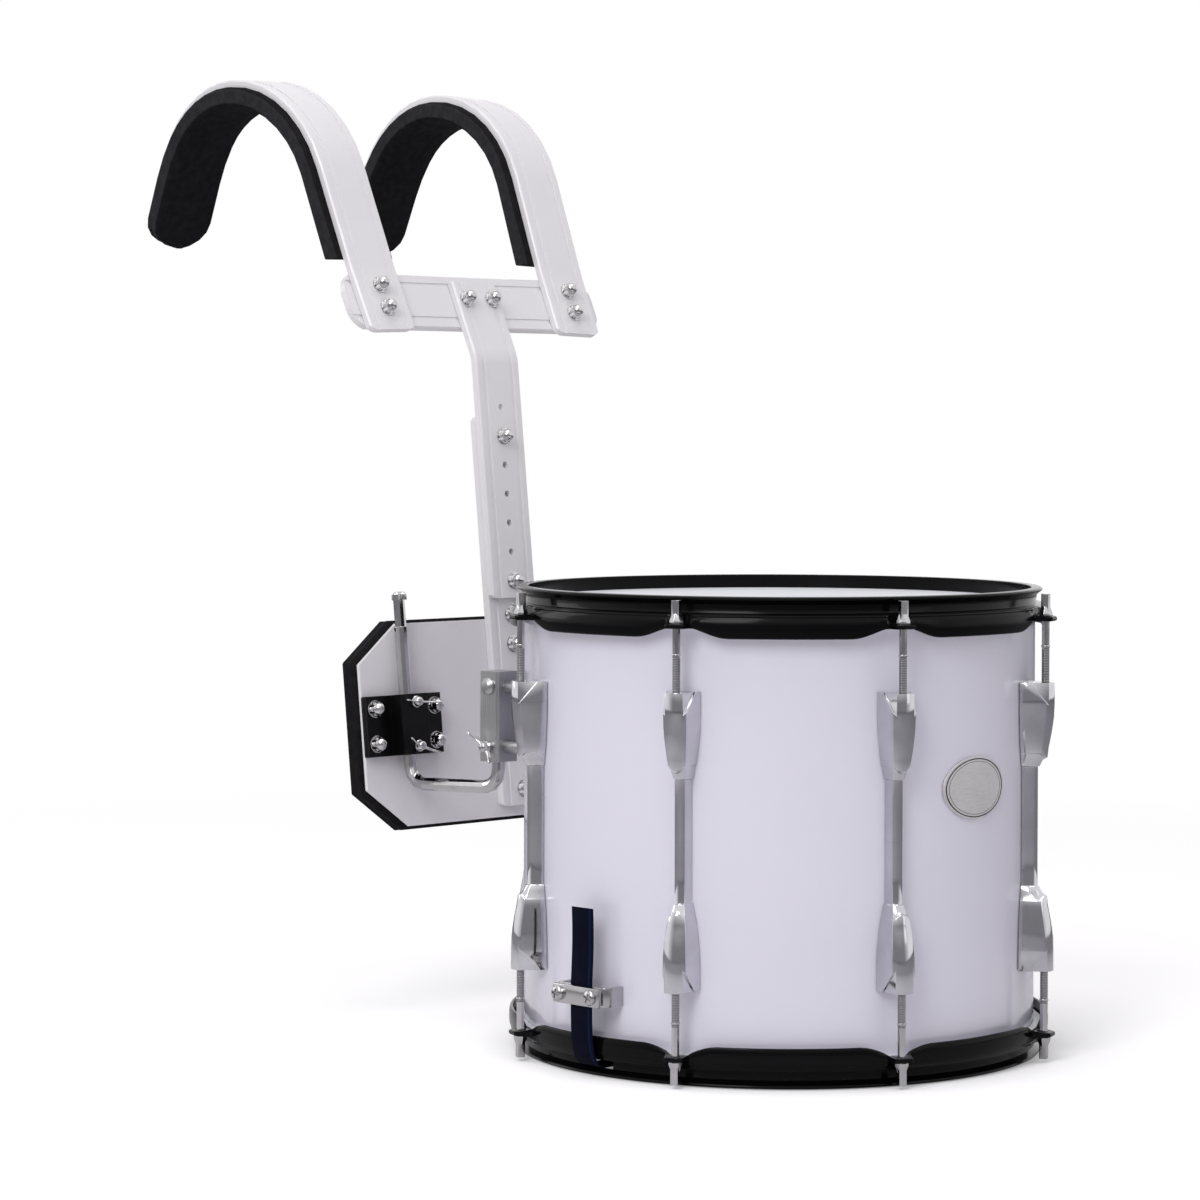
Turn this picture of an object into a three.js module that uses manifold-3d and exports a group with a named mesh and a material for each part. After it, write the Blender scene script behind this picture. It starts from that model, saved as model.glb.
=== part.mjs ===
// A marching snare drum with its shoulder carrier, in millimetres with +Z up.
// The drum stands on its lower rim, its front faces +Y, and the player stands at -Y with +X to the right.
import * as THREE from 'three';
import { mergeVertices } from 'three/addons/utils/BufferGeometryUtils.js';
import Module from 'manifold-3d';

const wasm = await Module();
wasm.setup();

// General clearances
const seatGap = 0.3;
const runningGap = 0.35;
const overrun = 2;
const weldDistance = 0.0001;

// Shell and heads
const shellRadius = 177.8;
const shellDepth = 300;
const shellWall = 6.5;
const edgeBevel = 4;
const filmThickness = 0.6;
const fleshHoopWidth = 4.6;
const fleshHoopHeight = 5;
const roundSegments = 48;

// Hoops: depths are measured from the rim's end face towards the middle of the drum
const rimStand = 10.5;
const rimInset = 2.6;
const rimWall = 3.2;
const lipReach = 4.3;
const lipHeight = 2.6;
const lipRound = 1.2;
const flangeDepth = 11.6;
const flangeThickness = 3.7;
const flangeShoulder = 1.8;
const skirtGap = 1;
const skirtWall = 3.1;
const skirtFlare = 0.6;
const skirtDepth = 27.4;
const earDepth = 17.4;
const earThickness = 3.4;
const earLip = 5.6;
const earPastRod = 6.6;
const earWidth = 17.5;
const earCurve = 11;
const earRound = 1.4;

// Lugs and tension rods
const lugCount = 8;
const rodStandOff = 5.2;
const rodDiameter = 5.5;
const rodReach = 34;
const rodHoleClearance = 0.45;
const rodSides = 8;
const washerDiameter = 9.8;
const washerHeight = 1.6;
const collarHeight = 4.6;
const collarTopDiameter = 6;
const squareAcross = 5.2;
const squareHeight = 8.6;
const lugLength = 196;
const castingLength = 57;
const castingWidth = 21;
const castingStand = 21;
const castingFrontWidth = 14.8;
const bridgeWidth = 11.4;
const bridgeStand = 9.6;
const bridgeFrontWidth = 7.6;
const lugFoot = 2.4;

// Badge
const badgeWidth = 62;
const badgeHeight = 42;
const badgeThickness = 1.3;
const badgeRise = 31.5;
const badgeSides = 40;

// Snare clamp, ribbon and wires
const ribbonWidth = 20;
const ribbonThickness = 1;
const ribbonTop = 113;
const clampHeightOverFloor = 54.5;
const clampPlateWidth = 48;
const clampPlateHeight = 13;
const clampPlateThickness = 3;
const clampStand = 15.6;
const stirrupThickness = 3;
const stirrupFoot = 9;
const clampScrewSpacing = 33;
const clampScrewHead = 8.5;
const clampScrewHeadHeight = 3.6;
const clampScrewTopShare = 0.6;
const clampScrewShank = 3.6;
const ribbonBendClear = 2;
const gateWidth = 32;
const gateLow = 4.4;
const gateHigh = 10.9;
const snareSpan = 300;
const snareStrands = 12;
const snareStrandDiameter = 1.1;
const strandSides = 4;
const snarePlateLength = 12;
const snarePlateThickness = 1.2;
const ribbonUnderPlate = 10;

// Throw-off, on the side opposite the snare clamp
const throwWidth = 36;
const throwBottom = 46;
const throwHeight = 58;
const throwDepth = 12.8;
const throwCorner = 5;
const jawHeight = 14;
const jawRibbonStand = 15.6;
const jawWidth = 34;
const strainerRibbonTop = 74;
const pivotHeight = 88;
const pivotStand = 18;
const pivotPinDiameter = 5;
const pivotLugWidth = 12;
const pivotLugRadius = 6;
const leverWidth = 20;
const leverCheek = 2.6;
const leverCheekRound = 4.4;
const leverLength = 56;
const leverThickness = 3;
const leverTipLength = 10;
const leverTipLean = 18;
const jawScrewDiameter = 4.8;
const knobDiameter = 14;
const knobNeckDiameter = 8.4;
const knobHeight = 13;
const knobFlutes = 10;
const knobFluteDiameter = 2.6;
const knobShankDiameter = 6;
const knobShankLength = 16;
const knobStand = 8.2;
const knobLift = 2;

// Carrier: flat aluminium bars
const barWidth = 44;
const barThickness = 5.5;
const barEdge = 1.2;
const grooveWidth = 3;
const grooveDepth = 0.7;
const grooveInset = 6.5;

// Carrier: post, spine and the lean of each
const postLean = 6.2;
const yokeLean = 25;
const quarterTurn = 90;
const plateHeightOverFloor = 213.8;
const postTop = 225.5;
const postBottom = -66.2;
const barCorner = 6;
const holePitch = 21.8;
const spineHoles = 7;
const spineHoleDiameter = 5.2;
const spineTopHole = 232.3;
const spineBottom = 88.7;
const spineBend = 269.5;
const spineBendRadius = 30;
const spineTopPastBolts = 15;
const upperBoltHole = 1;
const lowerBoltHole = 6;
const postBoltHeights = [54.5, -54.1];
const postStopHeight = 76.6;

// Carrier: cap nuts and their bolts
const nutAcross = 10;
const nutHeight = 3.6;
const nutDome = 4.4;
const nutSink = 0.5;
const nutDomeShares = [0.55, 0.85];
const boltDiameter = 6;
const boltHoleDiameter = 7.4;
const boltHeadDiameter = 11;
const boltHeadHeight = 2.6;

// Carrier: crossbar and shoulder hooks
const crossbarLength = 252;
const crossbarCorner = 17;
const yokeBoltRise = 47;
const spineBoltSpacing = 25.4;
const hookOffset = 96;
const hookCorner = 8;
const hookBoltSpacing = 18.6;
const hookBoltEnd = 17.5;
const hookFoot = 49;
const hookFootRadius = 90;
const hookForwardLean = 3;
const hookStraight = 80;
const hookFrontRadius = 110;
const hookRearRadius = 91;
const hookTailRadius = 150;
const hookRearTurn = 53;
const hookTailTurn = 14;
const hookTail = 24;
const hookSplay = 2;
const arcStepAngle = 10;

// Carrier: shoulder pads
const padThickness = 14;
const padWidth = 50;
const padStart = 6;
const padTail = 33;
const padEdge = 2.4;
const padCrown = 1.2;
const padWaist = 0.8;
const padEndRound = 20.5;

// Carrier: belly plate and its pad
const plateWidth = 296;
const plateHeight = 148;
const plateCornerAcross = 38;
const plateCornerDown = 28.5;
const plateThickness = 3;
const bellyPadThickness = 15;
const bellyPadMargin = 3;
const bellyPadCrown = 2.5;
const bellyPadEdge = 3;
const bellyPadWaist = 1;
const bellyPadCrownShares = [[0.75, 0.7], [0.55, 1]];

// Carrier: rod clamps
const rodOffset = 113;
const clampBaseWidth = 72;
const clampBaseHeight = 44;
const clampBaseThickness = 3;
const clampFlange = 2.5;
const channelWidth = 26;
const channelWeb = 4;
const clampNutAcross = 57.4;
const clampNutUp = 25.4;
const wingScrewUp = 32;
const wingScrewHub = 9.2;
const wingScrewHubHeight = 7.5;
const wingScrewShank = 5;
const wingSpan = 15;
const wingRise = 11;
const wingBlade = 2.2;
const wingHubShares = [0.67, 0.7];
const wingRootShares = [0.1, 0.62];
const wingShapeShares = [[0.75, 0.36], [1, 0.84], [0.84, 1]];

// J-shaped rods and the receivers on the shell
const jRodDiameter = 9.8;
const jRodNeckDiameter = 8.6;
const jRodCapDiameter = 10.6;
const jRodCapHeight = 6;
const jRodCapShares = [[1, 0.4], [0.6, 0.9]];
const jRodNeckLength = 20;
const jRodTop = 97;
const jRodLow = -42.9;
const receiverStand = 22.2;
const rodLegReach = 99.9;
const jRodLegRise = 3.8;
const jRodBend = 14;
const jRodSides = 10;
const receiverBottom = 194;
const receiverHeight = 64;
const receiverAcross = 20;
const receiverDeep = 19;
const receiverRoof = 14;
const receiverCorner = 2;
const bossDiameter = 10;
const bossFromEnds = 11;
const domeScrewDiameter = 12.4;
const domeScrewHeight = 4.4;
const domeScrewShares = [[1, 0.3], [0.6, 0.9]];
const domeScrewFromTop = 10.5;
const wingBoltFromBottom = 10.5;

// Worked-out places
const drumHeight = shellDepth + 2 * rimStand;
const drumMiddle = drumHeight / 2;
const seatRadius = shellRadius + seatGap;
const jRodUprightBehindAxis = Math.sqrt((seatRadius + receiverStand) ** 2 - rodOffset ** 2);
const postFaceBehindAxis = jRodUprightBehindAxis + rodLegReach;
const collarOuter = seatRadius + filmThickness;
const fleshOuter = collarOuter + fleshHoopWidth;
const fleshDepth = flangeDepth + flangeThickness + seatGap;
const rimInner = shellRadius - rimInset;
const rimOuter = rimInner + rimWall;
const lipOuter = rimOuter + lipReach;
const skirtInner = fleshOuter + skirtGap;
const skirtOuter = skirtInner + skirtWall;
const rodCircle = skirtOuter + rodStandOff;
const lugAngle = 360 / lugCount;
const clampLow = clampHeightOverFloor - clampPlateHeight / 2;
const boltBehind = barThickness + seatGap;
const plateFront = -barThickness - seatGap;
const padFront = plateFront - plateThickness - seatGap;
const clampBaseFront = plateFront + seatGap + clampBaseThickness;
const clampFlangeFront = clampBaseFront + seatGap + clampFlange;
const leverStandOff = pivotLugRadius + runningGap;
const rodCentreOut = clampBaseFront + runningGap + jRodDiameter / 2;
const channelFront = rodCentreOut + jRodDiameter / 2 + runningGap + channelWeb;

// Finishes: colour, roughness and metalness
const whiteGloss = [0xf1f1f4, 0.18, 0];
const whiteFilm = [0xf3f3f2, 0.5, 0];
const blackPaint = [0x17171a, 0.32, 0.1];
const chrome = [0xc9cacd, 0.16, 1];
const brushedAluminium = [0xb9babd, 0.35, 1];
const whiteEnamel = [0xefeff0, 0.38, 0];
const navyRibbon = [0x14193a, 0.8, 0];
const steelWire = [0xb4b4b6, 0.3, 1];
const blackFoam = [0x15151a, 0.92, 0];
const silverPlate = [0xc2c3c4, 0.3, 0.9];

function radians(degrees) {
  return THREE.MathUtils.degToRad(degrees);
}

// Turns a closed mesh's faces so that they point outwards
function facingOut(geometry) {
  const index = geometry.index;
  const corner = [0, 1, 2].map(() => new THREE.Vector3());
  let volume = 0;
  for (let i = 0; i < index.count; i += 3) {
    corner.forEach((point, k) => point.fromBufferAttribute(geometry.attributes.position, index.getX(i + k)));
    volume += corner[0].dot(corner[1].clone().cross(corner[2]));
  }
  if (volume < 0) {
    for (let i = 0; i < index.count; i += 3) {
      const second = index.getX(i + 1);
      index.setX(i + 1, index.getX(i + 2));
      index.setX(i + 2, second);
    }
  }
  return geometry;
}

function solidOf(geometry) {
  const bare = geometry.clone();
  bare.deleteAttribute('normal');
  bare.deleteAttribute('uv');
  const welded = facingOut(mergeVertices(bare, weldDistance));
  const vertProperties = new Float32Array(welded.attributes.position.array);
  const triVerts = new Uint32Array(welded.index.array);
  return new wasm.Manifold(new wasm.Mesh({ numProp: 3, vertProperties, triVerts }));
}

function geometryOf(solid) {
  const mesh = solid.getMesh();
  const geometry = new THREE.BufferGeometry();
  geometry.setAttribute('position', new THREE.BufferAttribute(new Float32Array(mesh.vertProperties), 3));
  geometry.setIndex(new THREE.BufferAttribute(new Uint32Array(mesh.triVerts), 1));
  geometry.computeVertexNormals();
  return geometry;
}

function joined(...geometries) {
  return geometryOf(geometries.map(solidOf).reduce((sum, next) => sum.add(next)));
}

function cut(geometry, ...tools) {
  return geometryOf(tools.map(solidOf).reduce((rest, tool) => rest.subtract(tool), solidOf(geometry)));
}

function common(geometry, other) {
  return geometryOf(solidOf(geometry).intersect(solidOf(other)));
}

// A closed mesh through rings of points; without a cap outline its last ring joins its first
function loft(rings, capOutline) {
  const count = rings[0].length;
  const geometry = new THREE.BufferGeometry().setFromPoints(rings.flat());
  const faces = [];
  const bands = capOutline ? rings.length - 1 : rings.length;
  for (let band = 0; band < bands; band++) {
    const near = band * count;
    const far = ((band + 1) % rings.length) * count;
    for (let j = 0; j < count; j++) {
      const next = (j + 1) % count;
      faces.push(near + j, near + next, far + next);
      faces.push(near + j, far + next, far + j);
    }
  }
  if (capOutline) {
    const last = (rings.length - 1) * count;
    const clockwise = THREE.ShapeUtils.isClockWise(capOutline);
    for (const triangle of THREE.ShapeUtils.triangulateShape(capOutline, [])) {
      const [a, b, c] = clockwise ? [...triangle].reverse() : triangle;
      faces.push(a, c, b);
      faces.push(last + a, last + b, last + c);
    }
  }
  geometry.setIndex(faces);
  return facingOut(geometry);
}

function box(across, deep, high) {
  return new THREE.BoxGeometry(across, deep, high);
}

// A round bar along +Z that starts at the origin
function bar(diameter, length, sides) {
  const geometry = new THREE.CylinderGeometry(diameter / 2, diameter / 2, length, sides);
  return geometry.rotateX(Math.PI / 2).translate(0, 0, length / 2);
}

function cone(bottomDiameter, topDiameter, length, sides) {
  const geometry = new THREE.CylinderGeometry(topDiameter / 2, bottomDiameter / 2, length, sides);
  return geometry.rotateX(Math.PI / 2).translate(0, 0, length / 2);
}

// A revolved solid about Z from [radius, height] pairs that close on themselves
function revolved(profile, segments) {
  const points = [...profile, profile[0]].map(([radius, height]) => new THREE.Vector2(radius, height));
  return new THREE.LatheGeometry(points, segments).rotateX(Math.PI / 2);
}

function roundedOutline(width, height, radius) {
  const x = width / 2 - radius;
  const y = height / 2 - radius;
  const shape = new THREE.Shape();
  shape.absarc(x, y, radius, 0, Math.PI / 2);
  shape.absarc(-x, y, radius, Math.PI / 2, Math.PI);
  shape.absarc(-x, -y, radius, Math.PI, 1.5 * Math.PI);
  shape.absarc(x, -y, radius, 1.5 * Math.PI, 2 * Math.PI);
  return shape;
}

function extruded(shape, depth, curveSegments = 5) {
  return new THREE.ExtrudeGeometry(shape, { depth, curveSegments, bevelEnabled: false });
}

// An outline drawn across X and up Z, given thickness along Y from 0 towards -Y
function upright(shape, thickness, curveSegments) {
  return extruded(shape, thickness, curveSegments).rotateX(Math.PI / 2);
}

function outlineOf(points) {
  return new THREE.Shape(points.map(([x, y]) => new THREE.Vector2(x, y)));
}

// Stations along a path in the YZ plane: a straight run, or an arc whose heading turns from the last one
class PlanePath {
  constructor(y, z, heading) {
    this.place = new THREE.Vector2(y, z);
    this.heading = radians(heading);
    this.stations = [];
    this.mark();
  }

  mark() {
    this.stations.push({ place: this.place.clone(), heading: this.heading });
  }

  run(length) {
    this.place.x -= length * Math.sin(this.heading);
    this.place.y += length * Math.cos(this.heading);
    this.mark();
    return this;
  }

  arc(radius, turn, stepAngle = arcStepAngle) {
    const steps = Math.max(1, Math.ceil(Math.abs(turn) / stepAngle));
    const step = radians(turn) / steps;
    for (let i = 0; i < steps; i++) {
      const chord = 2 * radius * Math.sin(Math.abs(step) / 2);
      this.place.x -= chord * Math.sin(this.heading + step / 2);
      this.place.y += chord * Math.cos(this.heading + step / 2);
      this.heading += step;
      this.mark();
    }
    return this;
  }
}

// Sweeps a section of [across, outward] points along a plane path; outward is the path's right-hand side
function swept(section, stations) {
  const rings = stations.map(({ place, heading }) => section.map(([across, outward]) => new THREE.Vector3(
    across,
    place.x + outward * Math.cos(heading),
    place.y + outward * Math.sin(heading),
  )));
  return loft(rings, section.map(([across, outward]) => new THREE.Vector2(across, outward)));
}

// The grooved section of the carrier's flat bars, its back face on the path
function barSection() {
  const side = barWidth / 2;
  const grooveOut = side - grooveInset;
  const grooveIn = grooveOut - grooveWidth;
  const grooveFloor = barThickness - grooveDepth;
  const rightHalf = [
    [side, 0], [side, barThickness - barEdge], [side - barEdge, barThickness],
    [grooveOut, barThickness], [grooveOut, grooveFloor], [grooveIn, grooveFloor], [grooveIn, barThickness],
  ];
  const leftHalf = rightHalf.map(([across, outward]) => [-across, outward]).reverse();
  return [...rightHalf, ...leftHalf];
}

function roundSection(diameter, sides) {
  return Array.from({ length: sides }, (_, i) => {
    const angle = (2 * Math.PI * i) / sides;
    return [(diameter / 2) * Math.cos(angle), (diameter / 2) * Math.sin(angle)];
  });
}

// A domed nut that stands on the plane of its origin and points along +Z, with its bolt behind it
function capNut(boltLength, headAtEnd) {
  const radius = nutAcross / 2 / Math.cos(Math.PI / 6);
  const [domeAcrossShare, domeUpShare] = nutDomeShares;
  const nut = revolved([
    [0, 0], [radius, 0], [radius, nutHeight], [radius * domeAcrossShare, nutHeight + nutDome * domeUpShare],
    [0, nutHeight + nutDome],
  ], 6);
  const pieces = [nut, bar(boltDiameter, boltLength + nutHeight, 6).translate(0, 0, -boltLength)];
  if (headAtEnd) {
    const head = bar(boltHeadDiameter, boltHeadHeight, 6);
    pieces.push(head.translate(0, 0, -boltLength - boltHeadHeight + weldDistance));
  }
  return joined(...pieces);
}

// A wing screw along +Z: its hub stands on the origin, and its shank reaches behind
function wingScrew(shankLength) {
  const hubRadius = wingScrewHub / 2;
  const [hubTopShare, hubSideShare] = wingHubShares;
  const hub = revolved([
    [0, 0], [hubRadius, 0], [hubRadius, wingScrewHubHeight * hubSideShare],
    [hubRadius * hubTopShare, wingScrewHubHeight], [0, wingScrewHubHeight],
  ], rodSides);
  const [rootLowShare, rootHighShare] = wingRootShares;
  const blade = outlineOf([
    [hubRadius / 2, wingRise * rootLowShare],
    ...wingShapeShares.map(([outShare, upShare]) => [wingSpan * outShare, wingRise * upShare]),
    [hubRadius / 2, wingRise * rootHighShare],
  ]);
  const right = upright(blade, wingBlade, 1).translate(0, wingBlade / 2, 0);
  const left = right.clone().rotateZ(Math.PI);
  const shank = bar(wingScrewShank, shankLength + wingRise * rootLowShare, 6).translate(0, 0, -shankLength);
  return joined(hub, right, left, shank);
}

function drumShell() {
  const inner = shellRadius - shellWall;
  const apex = shellRadius - edgeBevel;
  return revolved([
    [inner, rimStand + apex - inner], [apex, rimStand], [shellRadius, rimStand + edgeBevel],
    [shellRadius, drumHeight - rimStand - edgeBevel], [apex, drumHeight - rimStand],
    [inner, drumHeight - rimStand - (apex - inner)],
  ], roundSegments);
}

// A head for the top of the drum: film over the bearing edge, collar and flesh hoop
function drumHead() {
  const apex = shellRadius - edgeBevel;
  const filmBottom = drumHeight - rimStand + seatGap;
  const collarTop = filmBottom - edgeBevel;
  const fleshTop = drumHeight - fleshDepth;
  return revolved([
    [0, filmBottom], [apex + seatGap / 2, filmBottom], [seatRadius, collarTop - seatGap / 2],
    [seatRadius, fleshTop - fleshHoopHeight], [fleshOuter, fleshTop - fleshHoopHeight], [fleshOuter, fleshTop],
    [collarOuter, fleshTop], [collarOuter, collarTop + filmThickness / 2],
    [apex + filmThickness, filmBottom + filmThickness], [0, filmBottom + filmThickness],
  ], roundSegments);
}

// The hoop's section as [radius, depth] pairs; earShare runs from 0 at the skirt to 1 at an ear
function hoopSection(earShare) {
  const flangeUnder = flangeDepth + flangeThickness;
  const bevelEnd = flangeUnder - flangeShoulder;
  const bevelStart = bevelEnd - (collarOuter + runningGap - rimInner);
  const earInner = rodCircle - washerDiameter / 2 - runningGap;
  const earOuter = rodCircle + earPastRod;
  const earUnder = earDepth + earThickness;
  const lipEnd = earUnder + earLip - earThickness;
  const skirtRing = [
    [skirtOuter, flangeDepth + flangeShoulder], [skirtOuter + skirtFlare / 2, (flangeDepth + skirtDepth) / 2],
    [skirtOuter + skirtFlare, skirtDepth], [skirtInner + skirtFlare, skirtDepth],
  ];
  const earRing = [
    [earInner, earDepth], [earOuter - earRound, earDepth], [earOuter, lipEnd],
    [earOuter - earThickness, earUnder],
  ];
  const outer = skirtRing.map(([radius, depth], i) => [
    THREE.MathUtils.lerp(radius, earRing[i][0], earShare),
    THREE.MathUtils.lerp(depth, earRing[i][1], earShare),
  ]);
  return [
    [rimInner, 0], [lipOuter - lipRound, 0], [lipOuter, lipHeight / 2], [rimOuter, lipHeight + lipRound],
    [rimOuter, flangeDepth], [skirtOuter - flangeShoulder, flangeDepth], ...outer,
    [skirtInner, flangeUnder], [collarOuter + runningGap, bevelEnd], [rimInner, bevelStart],
  ];
}

// A die-cast hoop for the top of the drum: its skirt is cut away in a curve at each rod's ear
function drumHoop() {
  const earHalf = THREE.MathUtils.radToDeg(earWidth / 2 / rodCircle);
  const curve = THREE.MathUtils.radToDeg(earCurve / rodCircle);
  const curveShares = [[0, 1], [0.14, 0.55], [0.5, 0.17], [1, 0]];
  const curved = curveShares.map(([alongShare, share]) => [earHalf + alongShare * curve, share]);
  const stations = [...curved, [2 * 360 / roundSegments, 0]];
  const before = stations.map(([angle, share]) => [-angle, share]).reverse();
  const rings = [];
  const holes = [];
  const holeDiameter = rodDiameter + 2 * rodHoleClearance;
  const holeLow = drumHeight - earDepth - earThickness - earLip;
  for (let i = 0; i < lugCount; i++) {
    const rodAngle = (i + 0.5) * lugAngle;
    for (const [angle, share] of [[-lugAngle / 2, 0], ...before, ...stations]) {
      const turn = radians(rodAngle + angle);
      rings.push(hoopSection(share).map(([radius, depth]) => new THREE.Vector3(
        radius * Math.sin(turn), radius * Math.cos(turn), drumHeight - depth,
      )));
    }
    const hole = bar(holeDiameter, 2 * (earThickness + earLip), rodSides).translate(0, rodCircle, holeLow);
    holes.push(hole.rotateZ(-radians(rodAngle)));
  }
  return cut(loft(rings), ...holes);
}

// The lower hoop has a gate at each side for the snare ribbons
function lowerHoop() {
  const hoop = turnedOver(drumHoop());
  const gateDepth = lipOuter - rimInner + 2 * overrun;
  const gate = box(gateDepth, gateWidth, gateHigh - gateLow);
  const gateRadius = (rimInner + lipOuter) / 2;
  const gateMiddle = (gateLow + gateHigh) / 2;
  const near = gate.clone().translate(gateRadius, 0, gateMiddle);
  const far = gate.clone().translate(-gateRadius, 0, gateMiddle);
  return cut(hoop, near, far);
}

// Turns a piece for the top of the drum over about the drum's middle
function turnedOver(geometry) {
  return geometry.translate(0, 0, -drumMiddle).rotateY(Math.PI).translate(0, 0, drumMiddle);
}

// One lug at +Y: two castings joined by a bridge, drilled for a tension rod at each end
function lug() {
  const castingStations = [
    { alongShare: 0, widthShare: 1, frontShare: 1, standShare: 1 },
    { alongShare: 0.3, widthShare: 1, frontShare: 1, standShare: 0.96 },
    { alongShare: 0.58, widthShare: 0.96, frontShare: 0.95, standShare: 0.82 },
    { alongShare: 0.82, widthShare: 0.8, frontShare: 0.84, standShare: 0.64 },
    { alongShare: 0.86, widthShare: 0.74, frontShare: 0.76, standShare: 0.57 },
    { alongShare: 1, widthShare: 0.58, frontShare: 0.56, standShare: 0.48 },
  ];
  const section = (height, width, front, stand) => {
    const edgeRadius = Math.sqrt(seatRadius ** 2 - (width / 2) ** 2);
    return [
      [0, seatRadius], [width / 2, edgeRadius], [width / 2, edgeRadius + lugFoot], [front / 2, seatRadius + stand],
      [-front / 2, seatRadius + stand], [-width / 2, edgeRadius + lugFoot], [-width / 2, edgeRadius],
    ].map(([across, out]) => new THREE.Vector3(across, out, height));
  };
  const castingRings = castingStations.map((station) => section(
    lugLength / 2 - station.alongShare * castingLength,
    castingWidth * station.widthShare,
    castingFrontWidth * station.frontShare,
    castingStand * station.standShare,
  ));
  const bridgeEnd = section(lugLength / 2 - castingLength - lugFoot, bridgeWidth, bridgeFrontWidth, bridgeStand);
  const upper = [...castingRings, bridgeEnd];
  const lower = upper.map((ring) => ring.map((point) => new THREE.Vector3(point.x, point.y, -point.z))).reverse();
  const cap = upper[0].map((point) => new THREE.Vector2(point.x, point.y));
  const body = loft([...upper, ...lower], cap);
  const holeDiameter = rodDiameter + 2 * rodHoleClearance;
  const hole = bar(holeDiameter, rodReach + overrun, rodSides);
  const upperHole = hole.clone().translate(0, rodCircle, lugLength / 2 - rodReach);
  const lowerHole = hole.clone().translate(0, rodCircle, -lugLength / 2 - overrun);
  return cut(body, upperHole, lowerHole).translate(0, 0, drumMiddle);
}

// One upper tension rod at +Y: shank, washer, collar and square head
function tensionRod() {
  const headSeat = drumHeight - earDepth + seatGap;
  const shankEnd = drumMiddle + lugLength / 2 - rodReach + overrun;
  const washerTop = headSeat + washerHeight;
  const collarTop = washerTop + collarHeight;
  const body = revolved([
    [0, shankEnd], [rodDiameter / 2, shankEnd], [rodDiameter / 2, headSeat], [washerDiameter / 2, headSeat],
    [washerDiameter / 2, washerTop], [collarTopDiameter / 2, collarTop], [0, collarTop],
  ], rodSides);
  const squareTop = collarTop + squareHeight;
  const square = box(squareAcross, squareAcross, squareTop - washerTop).translate(0, 0, (squareTop + washerTop) / 2);
  return joined(body, square).translate(0, rodCircle, 0);
}

// The bare oval plate, bent to the shell
function badgePlate() {
  const shape = new THREE.Shape().absellipse(0, 0, badgeWidth / 2, badgeHeight / 2, 0, 2 * Math.PI);
  const blank = extruded(shape, shellRadius, badgeSides / 2).rotateX(Math.PI / 2);
  blank.translate(0, shellRadius + shellRadius / 2, 0);
  const skin = revolved([
    [seatRadius, -badgeHeight], [seatRadius + badgeThickness, -badgeHeight],
    [seatRadius + badgeThickness, badgeHeight], [seatRadius, badgeHeight],
  ], roundSegments * 2);
  return common(blank, skin).translate(0, 0, drumMiddle + badgeRise);
}

// The stirrup and front plate that pinch the ribbon, at +X; the ribbon passes behind the plate
function ribbonClamp() {
  const ribbonRadius = seatRadius + clampStand;
  const slot = ribbonThickness + 2 * seatGap;
  const plateInner = ribbonRadius + slot / 2;
  const side = clampPlateWidth / 2;
  const stirrupOuter = ribbonRadius - slot / 2;
  const stirrup = outlineOf([
    [seatRadius - stirrupFoot, -side], [stirrupOuter, -side], [stirrupOuter, side], [seatRadius - stirrupFoot, side],
    [seatRadius - stirrupFoot, side - stirrupThickness], [stirrupOuter - stirrupThickness, side - stirrupThickness],
    [stirrupOuter - stirrupThickness, -side + stirrupThickness],
    [seatRadius - stirrupFoot, -side + stirrupThickness],
  ]);
  const stirrupSolid = extruded(stirrup, clampPlateHeight, 1).translate(0, 0, clampLow);
  const plate = box(clampPlateThickness, clampPlateWidth, clampPlateHeight);
  plate.translate(plateInner + clampPlateThickness / 2, 0, clampHeightOverFloor);
  const shellCore = bar(2 * seatRadius, drumHeight, roundSegments);
  const screws = [-1, 1].flatMap((sign) => {
    const place = [plateInner + clampPlateThickness - overrun, sign * clampScrewSpacing / 2, clampHeightOverFloor];
    const head = cone(clampScrewHead, clampScrewHead * clampScrewTopShare, clampScrewHeadHeight + overrun, 8);
    head.rotateY(Math.PI / 2);
    const shankLength = clampPlateThickness + slot + 2 * overrun;
    const shank = bar(clampScrewShank, shankLength, 6).rotateY(Math.PI / 2).translate(-shankLength + overrun, 0, 0);
    return [head.translate(...place), shank.translate(...place)];
  });
  return cut(joined(stirrupSolid, plate, ...screws), shellCore);
}

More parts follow.
